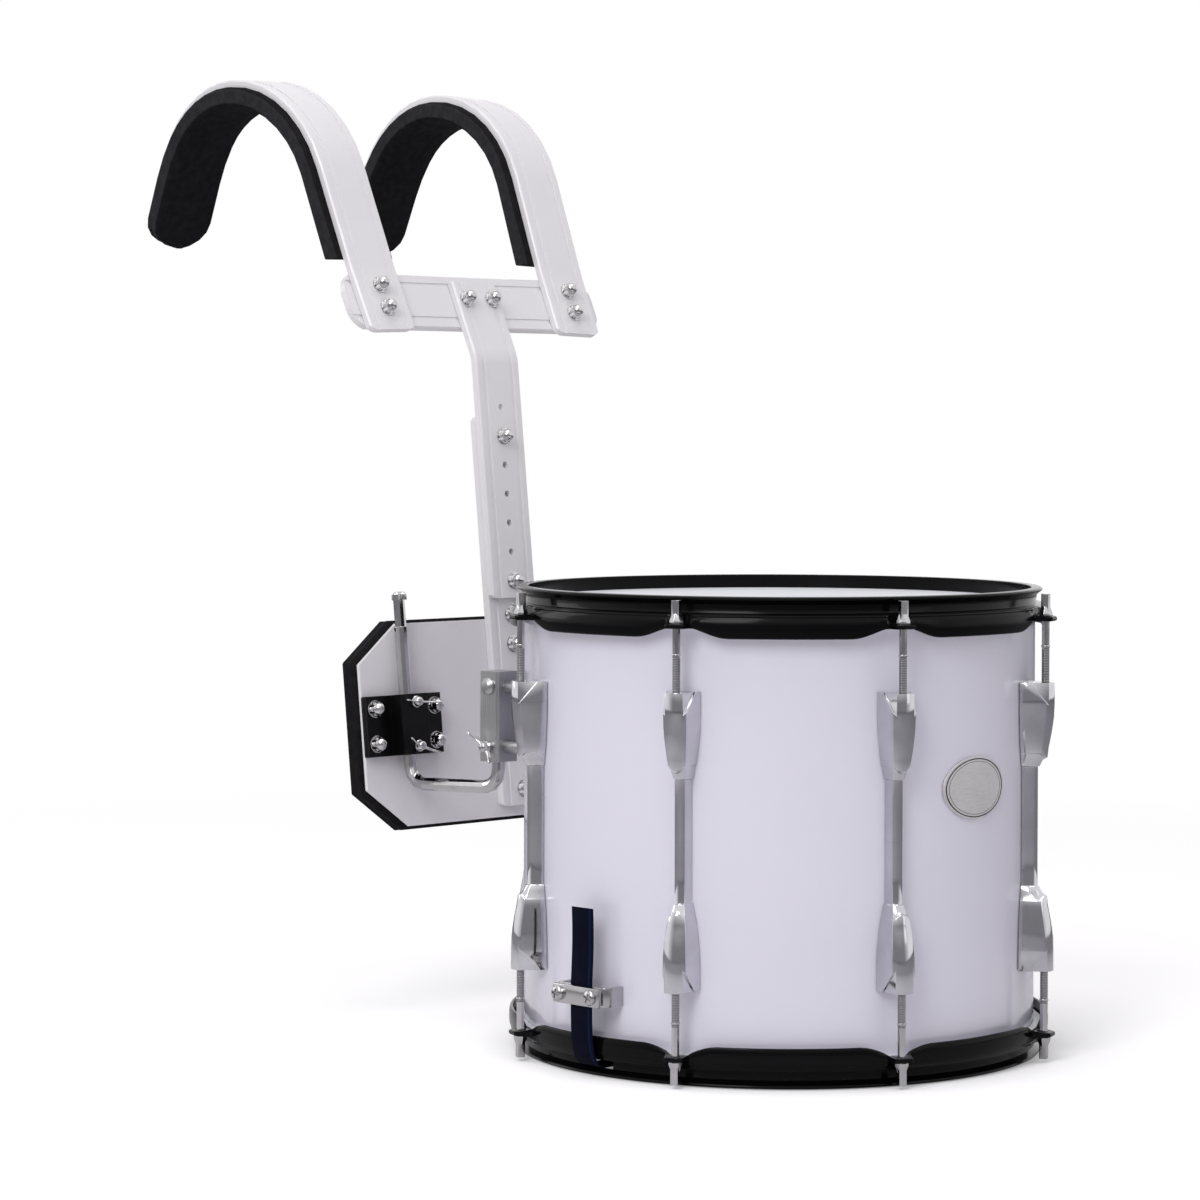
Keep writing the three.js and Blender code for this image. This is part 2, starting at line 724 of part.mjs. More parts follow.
// A ribbon at +X from its free end through its clamp, round the hoop's skirt and in at the gate
function snareRibbon(top, bendHeight, stand) {
  const ribbonRadius = seatRadius + stand;
  const skirtClear = skirtOuter + skirtFlare + seatGap + ribbonThickness / 2;
  const gateMiddle = (gateLow + gateHigh) / 2;
  const wireBottom = rimStand - seatGap - filmThickness - seatGap - snarePlateThickness;
  const innerHeight = wireBottom - seatGap - ribbonThickness / 2;
  const innerEnd = snareSpan / 2 - ribbonUnderPlate;
  const line = [
    [ribbonRadius, top], [ribbonRadius, bendHeight], [skirtClear + overrun / 2, skirtDepth + overrun],
    [skirtClear, skirtDepth - overrun], [skirtClear, flangeDepth], [skirtClear - overrun / 2, gateMiddle + overrun / 2],
    [lipOuter, gateMiddle], [rimInner - overrun, innerHeight], [innerEnd, innerHeight],
  ].map(([radius, height]) => new THREE.Vector2(radius, height));
  const half = ribbonThickness / 2;
  const rings = line.map((point, i) => {
    const before = line[Math.max(i - 1, 0)];
    const after = line[Math.min(i + 1, line.length - 1)];
    const along = after.clone().sub(before).normalize();
    const turn = i === 0 || i === line.length - 1 ? 1
      : Math.cos(Math.acos(THREE.MathUtils.clamp(along.dot(after.clone().sub(point).normalize()), -1, 1)));
    const offset = half / turn;
    return [[-1, -1], [1, -1], [1, 1], [-1, 1]].map(([side, face]) => new THREE.Vector3(
      point.x - along.y * face * offset, side * ribbonWidth / 2, point.y + along.x * face * offset,
    ));
  });
  const cap = [[-1, -1], [1, -1], [1, 1], [-1, 1]].map(([side, face]) => new THREE.Vector2(side * ribbonWidth, face));
  return loft(rings, cap);
}

// Strands along X under the lower head, held by a plate at each end
function snareWires() {
  const top = rimStand - seatGap - filmThickness - seatGap;
  const middle = top - snarePlateThickness / 2;
  const pitch = (ribbonWidth - snareStrandDiameter) / (snareStrands - 1);
  const strandLength = snareSpan - snarePlateLength;
  const pieces = [-1, 1].map((sign) => box(snarePlateLength, ribbonWidth, snarePlateThickness)
    .translate(sign * (snareSpan - snarePlateLength) / 2, 0, middle));
  for (let strand = 0; strand < snareStrands; strand++) {
    const across = -ribbonWidth / 2 + snareStrandDiameter / 2 + strand * pitch;
    const wire = bar(snareStrandDiameter, strandLength, strandSides).rotateY(Math.PI / 2);
    pieces.push(wire.translate(-strandLength / 2, across, middle));
  }
  return joined(...pieces);
}

// The throw-off's body at +X: housing on the shell, ribbon jaw with its plate, and the lever's lug
function throwOffBase() {
  const shape = roundedOutline(throwWidth, throwHeight, throwCorner);
  const housing = upright(shape, throwDepth + overrun, 3).rotateZ(Math.PI / 2);
  housing.translate(seatRadius - overrun, 0, throwBottom + throwHeight / 2);
  const ribbonRadius = seatRadius + jawRibbonStand;
  const slot = ribbonThickness + 2 * seatGap;
  const jawDepth = ribbonRadius - slot / 2 - seatRadius - throwDepth;
  const jawStart = seatRadius + throwDepth - overrun;
  const jaw = box(jawDepth + overrun, jawWidth, jawHeight);
  jaw.translate(jawStart + (jawDepth + overrun) / 2, 0, throwBottom + jawHeight / 2);
  const plateInner = ribbonRadius + slot / 2;
  const plate = box(clampPlateThickness, jawWidth, jawHeight);
  plate.translate(plateInner + clampPlateThickness / 2, 0, throwBottom + jawHeight / 2);
  const screwSide = (jawWidth + ribbonWidth) / 4 + seatGap;
  const screws = [-1, 1].map((sign) => {
    const length = clampPlateThickness + slot + clampScrewHeadHeight + overrun;
    const screw = bar(jawScrewDiameter, length, 8).rotateY(Math.PI / 2);
    return screw.translate(ribbonRadius - slot / 2 - overrun, sign * screwSide, throwBottom + jawHeight / 2);
  });
  const pivotRadius = seatRadius + pivotStand;
  const lugReach = pivotStand - throwDepth + overrun;
  const ear = box(lugReach, pivotLugWidth, 2 * pivotLugRadius);
  ear.translate(pivotRadius - lugReach / 2, 0, pivotHeight);
  const earEnd = bar(2 * pivotLugRadius, pivotLugWidth, 12).rotateX(Math.PI / 2);
  earEnd.translate(pivotRadius, pivotLugWidth / 2, pivotHeight);
  const pinHole = bar(pivotPinDiameter + 2 * runningGap, pivotLugWidth + 2 * overrun, 10).rotateX(Math.PI / 2);
  pinHole.translate(pivotRadius, pivotLugWidth / 2 + overrun, pivotHeight);
  const knobHoleDiameter = knobShankDiameter + 2 * runningGap;
  const knobHole = bar(knobHoleDiameter, knobShankLength + overrun, 10);
  knobHole.translate(seatRadius + knobStand, 0, throwBottom + throwHeight - knobShankLength);
  const shellCore = bar(2 * seatRadius, drumHeight, roundSegments);
  return cut(joined(housing, jaw, plate, ...screws, ear, earEnd), pinHole, knobHole, shellCore);
}

// The lever about its pin at the origin, closed and pointing up, outward along +X
function throwOffLever() {
  const path = new PlanePath(leverStandOff, -leverCheekRound, 0);
  path.run(leverLength + leverCheekRound).arc(leverTipLength, -leverTipLean).run(leverTipLength);
  const side = leverWidth / 2;
  const blade = [[-side, 0], [side, 0], [side, leverThickness], [-side, leverThickness]];
  const plate = swept(blade, path.stations).rotateZ(-Math.PI / 2);
  const cheekShape = new THREE.Shape();
  cheekShape.moveTo(leverStandOff + leverThickness / 2, -leverCheekRound);
  cheekShape.lineTo(leverStandOff + leverThickness / 2, 2 * leverCheekRound);
  cheekShape.absarc(0, 0, leverCheekRound, Math.PI / 2, 1.5 * Math.PI);
  const cheeks = [-1, 1].map((sign) => {
    const cheek = upright(cheekShape, leverCheek, 4).translate(0, leverCheek / 2, 0);
    return cheek.translate(0, sign * (leverWidth - leverCheek) / 2, 0);
  });
  const pinLength = leverWidth - leverCheek;
  const pin = bar(pivotPinDiameter, pinLength, 10).rotateX(Math.PI / 2).translate(0, pinLength / 2, 0);
  return joined(plate, ...cheeks, pin);
}

// The fluted knob on its screw, standing on the origin
function tensionKnob() {
  const shape = new THREE.Shape();
  const knobRadius = knobDiameter / 2;
  for (let flute = 0; flute < 2 * knobFlutes; flute++) {
    const radius = flute % 2 ? knobRadius - knobFluteDiameter / 2 : knobRadius;
    const angle = (Math.PI * flute) / knobFlutes;
    const point = [radius * Math.cos(angle), radius * Math.sin(angle)];
    if (flute === 0) shape.moveTo(...point);
    else shape.lineTo(...point);
  }
  const grip = extruded(shape, knobHeight - knobLift, 1).translate(0, 0, knobLift);
  const neck = bar(knobNeckDiameter, knobLift + overrun, 10);
  const shank = bar(knobShankDiameter, knobShankLength, 10).translate(0, 0, -knobShankLength + overrun);
  return joined(grip, neck, shank);
}

// A receiver at +X: socket for the rod's upright, two bosses that seat on the shell, and a dome screw
function receiver() {
  const upperBoss = receiverBottom + receiverHeight - bossFromEnds;
  const lowerBoss = receiverBottom + bossFromEnds;
  const body = extruded(roundedOutline(receiverAcross, receiverDeep, receiverCorner), receiverHeight, 2);
  body.translate(rodOffset, -jRodUprightBehindAxis, receiverBottom);
  const bossLength = jRodUprightBehindAxis - receiverDeep / 2;
  const bosses = [lowerBoss, upperBoss].map((height) => {
    const boss = bar(bossDiameter, bossLength, 12).rotateX(-Math.PI / 2);
    return boss.translate(rodOffset, -jRodUprightBehindAxis + receiverDeep / 2 - overrun, height);
  });
  const domeRadius = domeScrewDiameter / 2;
  const domeProfile = [
    [0, -overrun], [domeRadius, -overrun],
    ...domeScrewShares.map(([acrossShare, upShare]) => [domeRadius * acrossShare, domeScrewHeight * upShare]),
    [0, domeScrewHeight],
  ];
  const dome = revolved(domeProfile, 12).rotateY(Math.PI / 2);
  const sideFace = rodOffset + receiverAcross / 2;
  dome.translate(sideFace, -jRodUprightBehindAxis, receiverBottom + receiverHeight - domeScrewFromTop);
  const bore = bar(jRodDiameter + 2 * runningGap, receiverHeight - receiverRoof + overrun, jRodSides);
  bore.translate(rodOffset, -jRodUprightBehindAxis, receiverBottom - overrun);
  const boltHole = bar(wingScrewShank + 2 * runningGap, receiverAcross, 8).rotateY(Math.PI / 2);
  boltHole.translate(rodOffset, -jRodUprightBehindAxis, receiverBottom + wingBoltFromBottom);
  const shellCore = bar(2 * seatRadius, drumHeight, roundSegments);
  return cut(joined(body, ...bosses, dome), bore, boltHole, shellCore);
}

// A J-shaped rod at +X: leaning shaft in the clamp, level leg, and upright in the receiver
function jRod() {
  const lean = radians(postLean);
  const shaftFoot = new THREE.Vector2(
    -postFaceBehindAxis + rodCentreOut * Math.cos(lean) - jRodLow * Math.sin(lean),
    plateHeightOverFloor + rodCentreOut * Math.sin(lean) + jRodLow * Math.cos(lean),
  );
  const legEnd = new THREE.Vector2(-jRodUprightBehindAxis, shaftFoot.y + jRodLegRise);
  const legLength = legEnd.distanceTo(shaftFoot);
  const legHeading = -90 + THREE.MathUtils.radToDeg(Math.atan2(legEnd.y - shaftFoot.y, legEnd.x - shaftFoot.x));
  const shaftHeading = postLean - 180;
  const firstTurn = legHeading - shaftHeading;
  const secondTurn = -legHeading;
  const firstSetback = jRodBend * Math.tan(radians(Math.abs(firstTurn)) / 2);
  const secondSetback = jRodBend * Math.tan(radians(Math.abs(secondTurn)) / 2);
  const shaftLength = jRodTop - jRodCapHeight - jRodNeckLength - jRodLow;
  const top = shaftFoot.clone().add(new THREE.Vector2(-Math.sin(lean), Math.cos(lean)).multiplyScalar(shaftLength));
  const uprightTop = receiverBottom + receiverHeight - receiverRoof - 2 * seatGap;
  const path = new PlanePath(top.x, top.y, shaftHeading);
  path.run(shaftLength - firstSetback).arc(jRodBend, firstTurn, 3 * arcStepAngle);
  path.run(legLength - firstSetback - secondSetback).arc(jRodBend, secondTurn, 3 * arcStepAngle);
  path.run(uprightTop - path.place.y);
  const rod = swept(roundSection(jRodDiameter, jRodSides), path.stations);
  const neck = bar(jRodNeckDiameter, jRodNeckLength + 2 * overrun, jRodSides).translate(0, 0, -overrun);
  const capLow = jRodNeckLength;
  const cap = revolved([
    [0, capLow], [jRodCapDiameter / 2, capLow],
    ...jRodCapShares.map(([across, up]) => [(jRodCapDiameter / 2) * across, capLow + jRodCapHeight * up]),
    [0, capLow + jRodCapHeight],
  ], jRodSides);
  const head = joined(neck, cap).rotateX(lean).translate(0, top.x, top.y);
  return joined(rod, head).translate(rodOffset, 0, 0);
}

// Trims a bar's end to rounded corners: the outline runs from low to high along Z in the bar's plane
function cornerTrim(width, low, high, radius) {
  const shape = roundedOutline(width, high - low, radius);
  const reach = crossbarLength;
  return upright(shape, 2 * reach, 3).translate(0, reach, (low + high) / 2);
}

// Fasteners that stand on a bar's front: nuts turned to face +Y
function nutsAt(places, boltLength, headAtEnd) {
  return places.map(([across, out, up]) => {
    const nut = capNut(boltLength, headAtEnd).rotateX(-Math.PI / 2);
    return nut.translate(across, out, up);
  });
}

function holesAt(places, diameter, reach, sides = 8) {
  return places.map(([across, up]) => bar(diameter, 2 * reach, sides).rotateX(Math.PI / 2).translate(across, reach, up));
}

function rearPost() {
  const path = new PlanePath(-barThickness, postBottom, 0).run(postTop - postBottom);
  const blank = swept(barSection(), path.stations);
  const trimmed = common(blank, cornerTrim(barWidth + overrun, postBottom, postTop, barCorner));
  const spineBolts = [upperBoltHole, lowerBoltHole].map((hole) => [0, spineTopHole - hole * holePitch]);
  const drilled = cut(trimmed, ...holesAt(spineBolts, boltHoleDiameter, 2 * barThickness, 6));
  const throughPlate = barThickness + seatGap + plateThickness - nutSink;
  const nuts = nutsAt(postBoltHeights.map((up) => [0, -nutSink, up]), throughPlate, false);
  const stop = nutsAt([[0, -nutSink, postStopHeight]], barThickness - 2 * nutSink, false);
  return joined(drilled, ...nuts, ...stop);
}

// The spine in front of the post: straight below, bent back above to carry the crossbar
function spine() {
  const bend = yokeLean - postLean;
  const setback = spineBendRadius * Math.tan(radians(bend) / 2);
  const upperLength = yokeBoltRise + spineTopPastBolts;
  const path = new PlanePath(seatGap, spineBottom, 0);
  path.run(spineBend - setback - spineBottom).arc(spineBendRadius, bend, bend / 4).run(upperLength - setback);
  const blank = swept(barSection(), path.stations);
  const height = path.place.y;
  const trimmed = common(blank, cornerTrim(barWidth + overrun, spineBottom, height + barWidth, barCorner));
  const holes = [];
  const nutPlaces = [];
  for (let hole = 0; hole < spineHoles; hole++) {
    const up = spineTopHole - hole * holePitch;
    if (hole === upperBoltHole || hole === lowerBoltHole) nutPlaces.push([0, seatGap + barThickness - nutSink, up]);
    else holes.push([0, up]);
  }
  const drilled = cut(trimmed, ...holesAt(holes, spineHoleDiameter, 2 * barThickness));
  const nuts = nutsAt(nutPlaces, 2 * barThickness + seatGap + boltHeadGap(), true);
  const yokeNuts = nutsAt([-1, 1].map((sign) => [sign * spineBoltSpacing / 2, barThickness - nutSink, 0]),
    2 * barThickness + seatGap + boltHeadGap(), true);
  const yokePlace = yokeOrigin();
  for (const nut of yokeNuts) nut.rotateX(radians(bend)).translate(0, yokePlace.x, yokePlace.y);
  return joined(drilled, ...nuts, ...yokeNuts);
}

function boltHeadGap() {
  return seatGap - nutSink;
}

// Where the spine's back face meets the row of its top bolts, in the post's own frame
function yokeOrigin() {
  const bend = radians(yokeLean - postLean);
  return new THREE.Vector2(seatGap - yokeBoltRise * Math.sin(bend), spineBend + yokeBoltRise * Math.cos(bend));
}

// The crossbar behind the spine and hooks, in the yoke's frame with its front face at y = -seatGap
function crossbar() {
  const path = new PlanePath(-barThickness - seatGap, -crossbarLength / 2, 0).run(crossbarLength);
  const blank = swept(barSection(), path.stations).rotateY(Math.PI / 2);
  const trim = upright(roundedOutline(crossbarLength, barWidth + overrun, crossbarCorner), 4 * barThickness, 6);
  const trimmed = common(blank, trim.translate(0, 2 * barThickness, 0));
  const spinePlaces = [-1, 1].map((sign) => [sign * spineBoltSpacing / 2, 0]);
  const hookPlaces = [-1, 1].flatMap((sign) => [-1, 1].map((end) => [sign * hookOffset, end * hookBoltSpacing / 2]));
  const holes = holesAt([...spinePlaces, ...hookPlaces], boltHoleDiameter, 2 * barThickness, 6);
  return cut(trimmed, ...holes);
}

// The hook's outer face over the shoulder, in the yoke's frame: up from its foot, or from the pad's start
function hookPath(padOnly) {
  const foot = new PlanePath(barThickness, -hookBoltSpacing / 2 - hookBoltEnd, 0);
  foot.run(hookFoot).arc(hookFootRadius, -hookForwardLean);
  const padFoot = new PlanePath(foot.place.x, foot.place.y, -hookForwardLean).run(padStart).place;
  const path = padOnly ? new PlanePath(padFoot.x, padFoot.y, -hookForwardLean) : foot;
  path.run(padOnly ? hookStraight - padStart : hookStraight);
  path.arc(hookFrontRadius, quarterTurn - yokeLean + hookForwardLean);
  path.arc(hookRearRadius, hookRearTurn).arc(hookTailRadius, hookTailTurn);
  return path;
}

function shoulderHook() {
  const path = hookPath(false).run(hookTail);
  const low = path.stations[0].place.y;
  const section = barSection().map(([across, outward]) => [across, outward - barThickness]);
  const blank = swept(section, path.stations);
  const height = hookFoot + hookStraight + 3 * hookFrontRadius;
  const shape = roundedOutline(barWidth + overrun, height, hookCorner);
  const reach = 4 * hookRearRadius;
  const trim = upright(shape, 2 * reach, 4).translate(0, reach, low + height / 2);
  const nuts = nutsAt([-1, 1].map((end) => [0, barThickness - nutSink, end * hookBoltSpacing / 2]),
    2 * barThickness + seatGap + boltHeadGap(), true);
  return joined(common(blank, trim), ...nuts);
}

// The pad's section at a place along it: crown towards the shoulder, drawn-in sides, rounded edges
function padSection(halfWidth, squeeze) {
  const back = -barThickness - seatGap;
  const face = back - padThickness;
  const edge = Math.min(padEdge, halfWidth / 3) * squeeze;
  const waist = padWaist * squeeze;
  const right = [
    [halfWidth - edge, back], [halfWidth, back - edge], [halfWidth - waist, (back + face) / 2],
    [halfWidth, face + edge], [halfWidth - edge, face], [halfWidth / 2, face - padCrown * squeeze],
  ];
  const left = right.map(([across, outward]) => [-across, outward]).reverse();
  return [...right, ...left];
}

// The foam pad inside the hook: level at its front end, rounded at its rear end
function shoulderPad() {
  const path = hookPath(true).run(padTail);
  const endPlace = path.place.clone();
  const endHeading = path.heading;
  const rings = path.stations.map(({ place, heading }, i) => {
    const section = padSection(padWidth / 2, i === 0 ? 0.5 : 1);
    return section.map(([across, outward]) => {
      const levelling = i === 0 ? -(outward + barThickness) * Math.tan(radians(yokeLean - hookForwardLean)) : 0;
      return new THREE.Vector3(
        across,
        place.x + outward * Math.cos(heading) - levelling * Math.sin(heading),
        place.y + outward * Math.sin(heading) + levelling * Math.cos(heading),
      );
    });
  });
  const roundStations = 4;
  const lastStationShare = 0.35;
  for (let i = 1; i <= roundStations; i++) {
    const turn = radians((quarterTurn * i) / (roundStations + lastStationShare));
    const along = padEndRound * Math.sin(turn);
    const section = padSection((padWidth / 2) * Math.cos(turn), 1);
    rings.push(section.map(([across, outward]) => new THREE.Vector3(
      across,
      endPlace.x + outward * Math.cos(endHeading) - along * Math.sin(endHeading),
      endPlace.y + outward * Math.sin(endHeading) + along * Math.cos(endHeading),
    )));
  }
  return loft(rings, padSection(padWidth / 2, 1).map(([across, outward]) => new THREE.Vector2(across, outward)));
}

// The octagon of the belly plate, grown by a margin
function bellyOutline(margin) {
  const side = plateWidth / 2 + margin;
  const top = plateHeight / 2 + margin;
  const across = side - plateCornerAcross;
  const up = top - plateCornerDown;
  return [[side, up], [across, top], [-across, top], [-side, up], [-side, -up], [-across, -top], [across, -top], [side, -up]];
}

function bellyPlate() {
  const plate = upright(outlineOf(bellyOutline(0)), plateThickness, 1).translate(0, plateFront, 0);
  const clampPlaces = [-1, 1].flatMap((side) => clampNutPlaces().map(([across, up]) => [side * rodOffset + across, up]));
  const postPlaces = postBoltHeights.map((up) => [0, up]);
  return cut(plate, ...holesAt([...clampPlaces, ...postPlaces], boltHoleDiameter, 4 * barThickness, 6));
}

// The belly pad behind the plate: rounded edges, and a crown towards the player
function bellyPad() {
  const layer = (margin, back) => bellyOutline(margin).map(([x, z]) => new THREE.Vector3(x, padFront - back, z));
  const crowned = ([share, riseShare]) => {
    const back = padFront - bellyPadThickness - bellyPadCrown * riseShare;
    return bellyOutline(0).map(([x, z]) => new THREE.Vector3(x * share, back, z * share));
  };
  const rings = [
    layer(bellyPadMargin - bellyPadEdge, 0), layer(bellyPadMargin, bellyPadEdge),
    layer(bellyPadMargin - bellyPadWaist, bellyPadThickness / 2),
    layer(bellyPadMargin, bellyPadThickness - bellyPadEdge), layer(bellyPadMargin - bellyPadEdge, bellyPadThickness),
    ...bellyPadCrownShares.map(crowned),
  ];
  return loft(rings, bellyOutline(0).map(([x, z]) => new THREE.Vector2(x, z)));
}

function clampNutPlaces() {
  return [-1, 1].flatMap((side) => [-1, 1].map((end) => [side * clampNutAcross / 2, end * clampNutUp / 2]));
}

function clampBase() {
  const plate = upright(roundedOutline(clampBaseWidth, clampBaseHeight, barEdge), clampBaseThickness, 2);
  plate.translate(0, clampBaseFront, 0);
  return cut(plate, ...holesAt(clampNutPlaces(), boltHoleDiameter, 4 * barThickness, 6));
}

// The clamp's cover: flanges with cap nuts, and a channel that holds the rod
function clampCover() {
  const side = clampBaseWidth / 2;
  const wall = channelWidth / 2;
  const cavity = jRodDiameter / 2 + runningGap;
  const back = clampBaseFront + seatGap;
  const section = outlineOf([
    [-side, back], [-cavity, back], [-cavity, channelFront - channelWeb], [cavity, channelFront - channelWeb],
    [cavity, back], [side, back], [side, clampFlangeFront], [wall, clampFlangeFront], [wall, channelFront],
    [-wall, channelFront], [-wall, clampFlangeFront], [-side, clampFlangeFront],
  ]);
  const body = extruded(section, clampBaseHeight, 1).translate(0, 0, -clampBaseHeight / 2);
  const screwPlaces = [-1, 1].map((end) => [0, end * wingScrewUp / 2]);
  const holes = holesAt(screwPlaces, wingScrewShank + 2 * runningGap, channelFront + overrun);
  const behind = clampFlange + seatGap + clampBaseThickness + seatGap + plateThickness - nutSink;
  const places = clampNutPlaces().map(([across, up]) => [across, clampFlangeFront - nutSink, up]);
  return joined(cut(body, ...holes), ...nutsAt(places, behind, false));
}

function addMesh(group, name, geometry, finish) {
  const [color, roughness, metalness] = finish;
  const mesh = new THREE.Mesh(geometry, new THREE.MeshStandardMaterial({ color, roughness, metalness }));
  mesh.name = name;
  group.add(mesh);
  return mesh;
}

const drum = new THREE.Group();
addMesh(drum, 'drum_shell', drumShell(), whiteGloss);
addMesh(drum, 'batter_head', drumHead(), whiteFilm);
addMesh(drum, 'resonant_head', turnedOver(drumHead()), whiteFilm);
addMesh(drum, 'top_hoop', drumHoop(), blackPaint);
addMesh(drum, 'bottom_hoop', lowerHoop(), blackPaint);
for (let i = 0; i < lugCount; i++) {
  const turn = -radians((i + 0.5) * lugAngle);
  addMesh(drum, `lug_${i + 1}`, lug(), chrome).rotation.z = turn;
  addMesh(drum, `upper_tension_rod_${i + 1}`, tensionRod(), chrome).rotation.z = turn;
  const lowerRod = geometryOf(solidOf(tensionRod()).translate(0, 0, -drumMiddle).rotate(0, 180, 0));
  addMesh(drum, `lower_tension_rod_${i + 1}`, lowerRod.translate(0, 0, drumMiddle), chrome).rotation.z = turn;
}
addMesh(drum, 'badge', badgePlate(), silverPlate);
addMesh(drum, 'ribbon_clamp', ribbonClamp(), chrome);
addMesh(drum, 'snare_ribbon', snareRibbon(ribbonTop, clampLow - ribbonBendClear, clampStand), navyRibbon);
addMesh(drum, 'snare_wires', snareWires(), steelWire);

const throwOff = new THREE.Group();
throwOff.rotation.z = Math.PI;
addMesh(throwOff, 'strainer_ribbon', snareRibbon(strainerRibbonTop, throwBottom - ribbonBendClear, jawRibbonStand), navyRibbon);
addMesh(throwOff, 'throw_off_base', throwOffBase(), chrome);
const lever = addMesh(throwOff, 'throw_off_lever', throwOffLever(), chrome);
lever.position.set(seatRadius + pivotStand, 0, pivotHeight);
const knob = addMesh(throwOff, 'snare_tension_knob', tensionKnob(), blackPaint);
knob.position.set(seatRadius + knobStand, 0, throwBottom + throwHeight + seatGap);

const carrier = new THREE.Group();
carrier.position.set(0, -postFaceBehindAxis, plateHeightOverFloor);
carrier.rotation.x = radians(postLean);
addMesh(carrier, 'rear_post', rearPost(), whiteEnamel);
addMesh(carrier, 't_bar', spine(), whiteEnamel);
addMesh(carrier, 'belly_plate', bellyPlate(), whiteEnamel);
addMesh(carrier, 'belly_pad', bellyPad(), blackFoam);

const yoke = new THREE.Group();
const yokePlace = yokeOrigin();
yoke.position.set(0, yokePlace.x, yokePlace.y);
yoke.rotation.x = radians(yokeLean - postLean);
carrier.add(yoke);
addMesh(yoke, 'crossbar', crossbar(), whiteEnamel);

for (const [side, sign] of [['right', 1], ['left', -1]]) {
  for (const piece of [
    addMesh(yoke, `shoulder_hook_${side}`, shoulderHook(), whiteEnamel),
    addMesh(yoke, `shoulder_pad_${side}`, shoulderPad(), blackFoam),
  ]) {
    piece.position.x = sign * hookOffset;
    piece.rotation.y = sign * radians(hookSplay);
  }
  addMesh(carrier, `clamp_base_${side}`, clampBase(), blackPaint).position.x = sign * rodOffset;
  addMesh(carrier, `clamp_cover_${side}`, clampCover(), blackPaint).position.x = sign * rodOffset;
  for (const [level, end] of [['upper', 1], ['lower', -1]]) {
    const screw = addMesh(carrier, `wing_screw_${side}_${level}`, wingScrew(channelWeb), chrome);
    screw.rotation.x = -Math.PI / 2;
    screw.position.set(sign * rodOffset, channelFront + seatGap, end * wingScrewUp / 2);
  }
  const mirror = sign > 0 ? (geometry) => geometry : (geometry) => geometryOf(solidOf(geometry).mirror([1, 0, 0]));
  addMesh(drum, `receiver_${side}`, mirror(receiver()), brushedAluminium);
  addMesh(drum, `j_rod_${side}`, mirror(jRod()), chrome);
  const wallToRod = (receiverAcross - jRodDiameter) / 2 - seatGap;
  const bolt = addMesh(drum, `receiver_wing_bolt_${side}`, wingScrew(wallToRod), chrome);
  bolt.rotation.y = sign * Math.PI / 2;
  const boltFace = sign * (rodOffset + receiverAcross / 2 + seatGap);
  bolt.position.set(boltFace, -jRodUprightBehindAxis, receiverBottom + wingBoltFromBottom);
}

// The origin is under the middle of the part, on the plane that it stands on
const assembly = new THREE.Group();
assembly.add(drum, throwOff, carrier);
assembly.updateMatrixWorld(true);
const reach = new THREE.Box3().setFromObject(assembly, true);
assembly.position.set(0, -(reach.min.y + reach.max.y) / 2, -reach.min.z);

const group = new THREE.Group();
group.add(assembly);
export default group;
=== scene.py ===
import bpy
import bmesh
import math
from mathutils import Matrix, Vector


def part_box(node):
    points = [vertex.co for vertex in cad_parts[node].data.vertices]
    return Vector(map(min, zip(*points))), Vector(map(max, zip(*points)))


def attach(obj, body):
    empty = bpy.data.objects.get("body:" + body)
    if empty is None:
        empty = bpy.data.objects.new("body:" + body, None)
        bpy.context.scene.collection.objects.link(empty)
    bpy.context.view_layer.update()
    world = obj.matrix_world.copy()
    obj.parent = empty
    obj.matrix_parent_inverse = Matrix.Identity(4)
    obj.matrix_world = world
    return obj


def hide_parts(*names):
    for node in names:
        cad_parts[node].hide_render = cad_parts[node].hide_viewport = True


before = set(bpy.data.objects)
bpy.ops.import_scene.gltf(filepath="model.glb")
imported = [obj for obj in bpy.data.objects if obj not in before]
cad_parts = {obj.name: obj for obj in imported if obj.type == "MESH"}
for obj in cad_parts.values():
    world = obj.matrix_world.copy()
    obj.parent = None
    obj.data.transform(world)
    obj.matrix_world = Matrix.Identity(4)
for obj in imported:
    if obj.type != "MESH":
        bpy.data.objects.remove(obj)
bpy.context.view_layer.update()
print("frame loaded:", len(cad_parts), "nodes")

# where the carrier's parts are, in metres and degrees, as in the part's source
carrierShape = {
    "postLean": 6.2, "yokeLean": 25, "footBack": 0.2653, "footUp": 0.2138, "yokeRise": 0.047,
    "bendUp": 0.2695, "seatGap": 0.0003, "barThick": 0.0055, "hookOffset": 0.096, "hookSplay": 2,
    "rodOffset": 0.113,
}
axisY = (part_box("drum_shell")[0].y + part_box("drum_shell")[1].y) / 2
postLean = math.radians(carrierShape["postLean"])


def carrierMatrix():
    foot = Vector((0, axisY - carrierShape["footBack"], carrierShape["footUp"]))
    return Matrix.Translation(foot) @ Matrix.Rotation(postLean, 4, "X")


def yokeMatrix():
    bend = math.radians(carrierShape["yokeLean"]) - postLean
    back = carrierShape["seatGap"] - carrierShape["yokeRise"] * math.sin(bend)
    up = carrierShape["bendUp"] + carrierShape["yokeRise"] * math.cos(bend)
    return carrierMatrix() @ Matrix.Translation((0, back, up)) @ Matrix.Rotation(bend, 4, "X")


def hookMatrix(side):  # each shoulder hook, splayed a little
    offset = Matrix.Translation((side * carrierShape["hookOffset"], 0, 0))
    return yokeMatrix() @ offset @ Matrix.Rotation(side * math.radians(carrierShape["hookSplay"]), 4, "Y")


# node-tree helpers
def feed(tree, socket, value):  # a number, a colour or another node's output goes into a socket
    if isinstance(value, (tuple, list)):
        socket.default_value = (*value, 1)
    elif isinstance(value, (int, float)):
        socket.default_value = value
    elif value is not None:
        tree.links.new(value, socket)


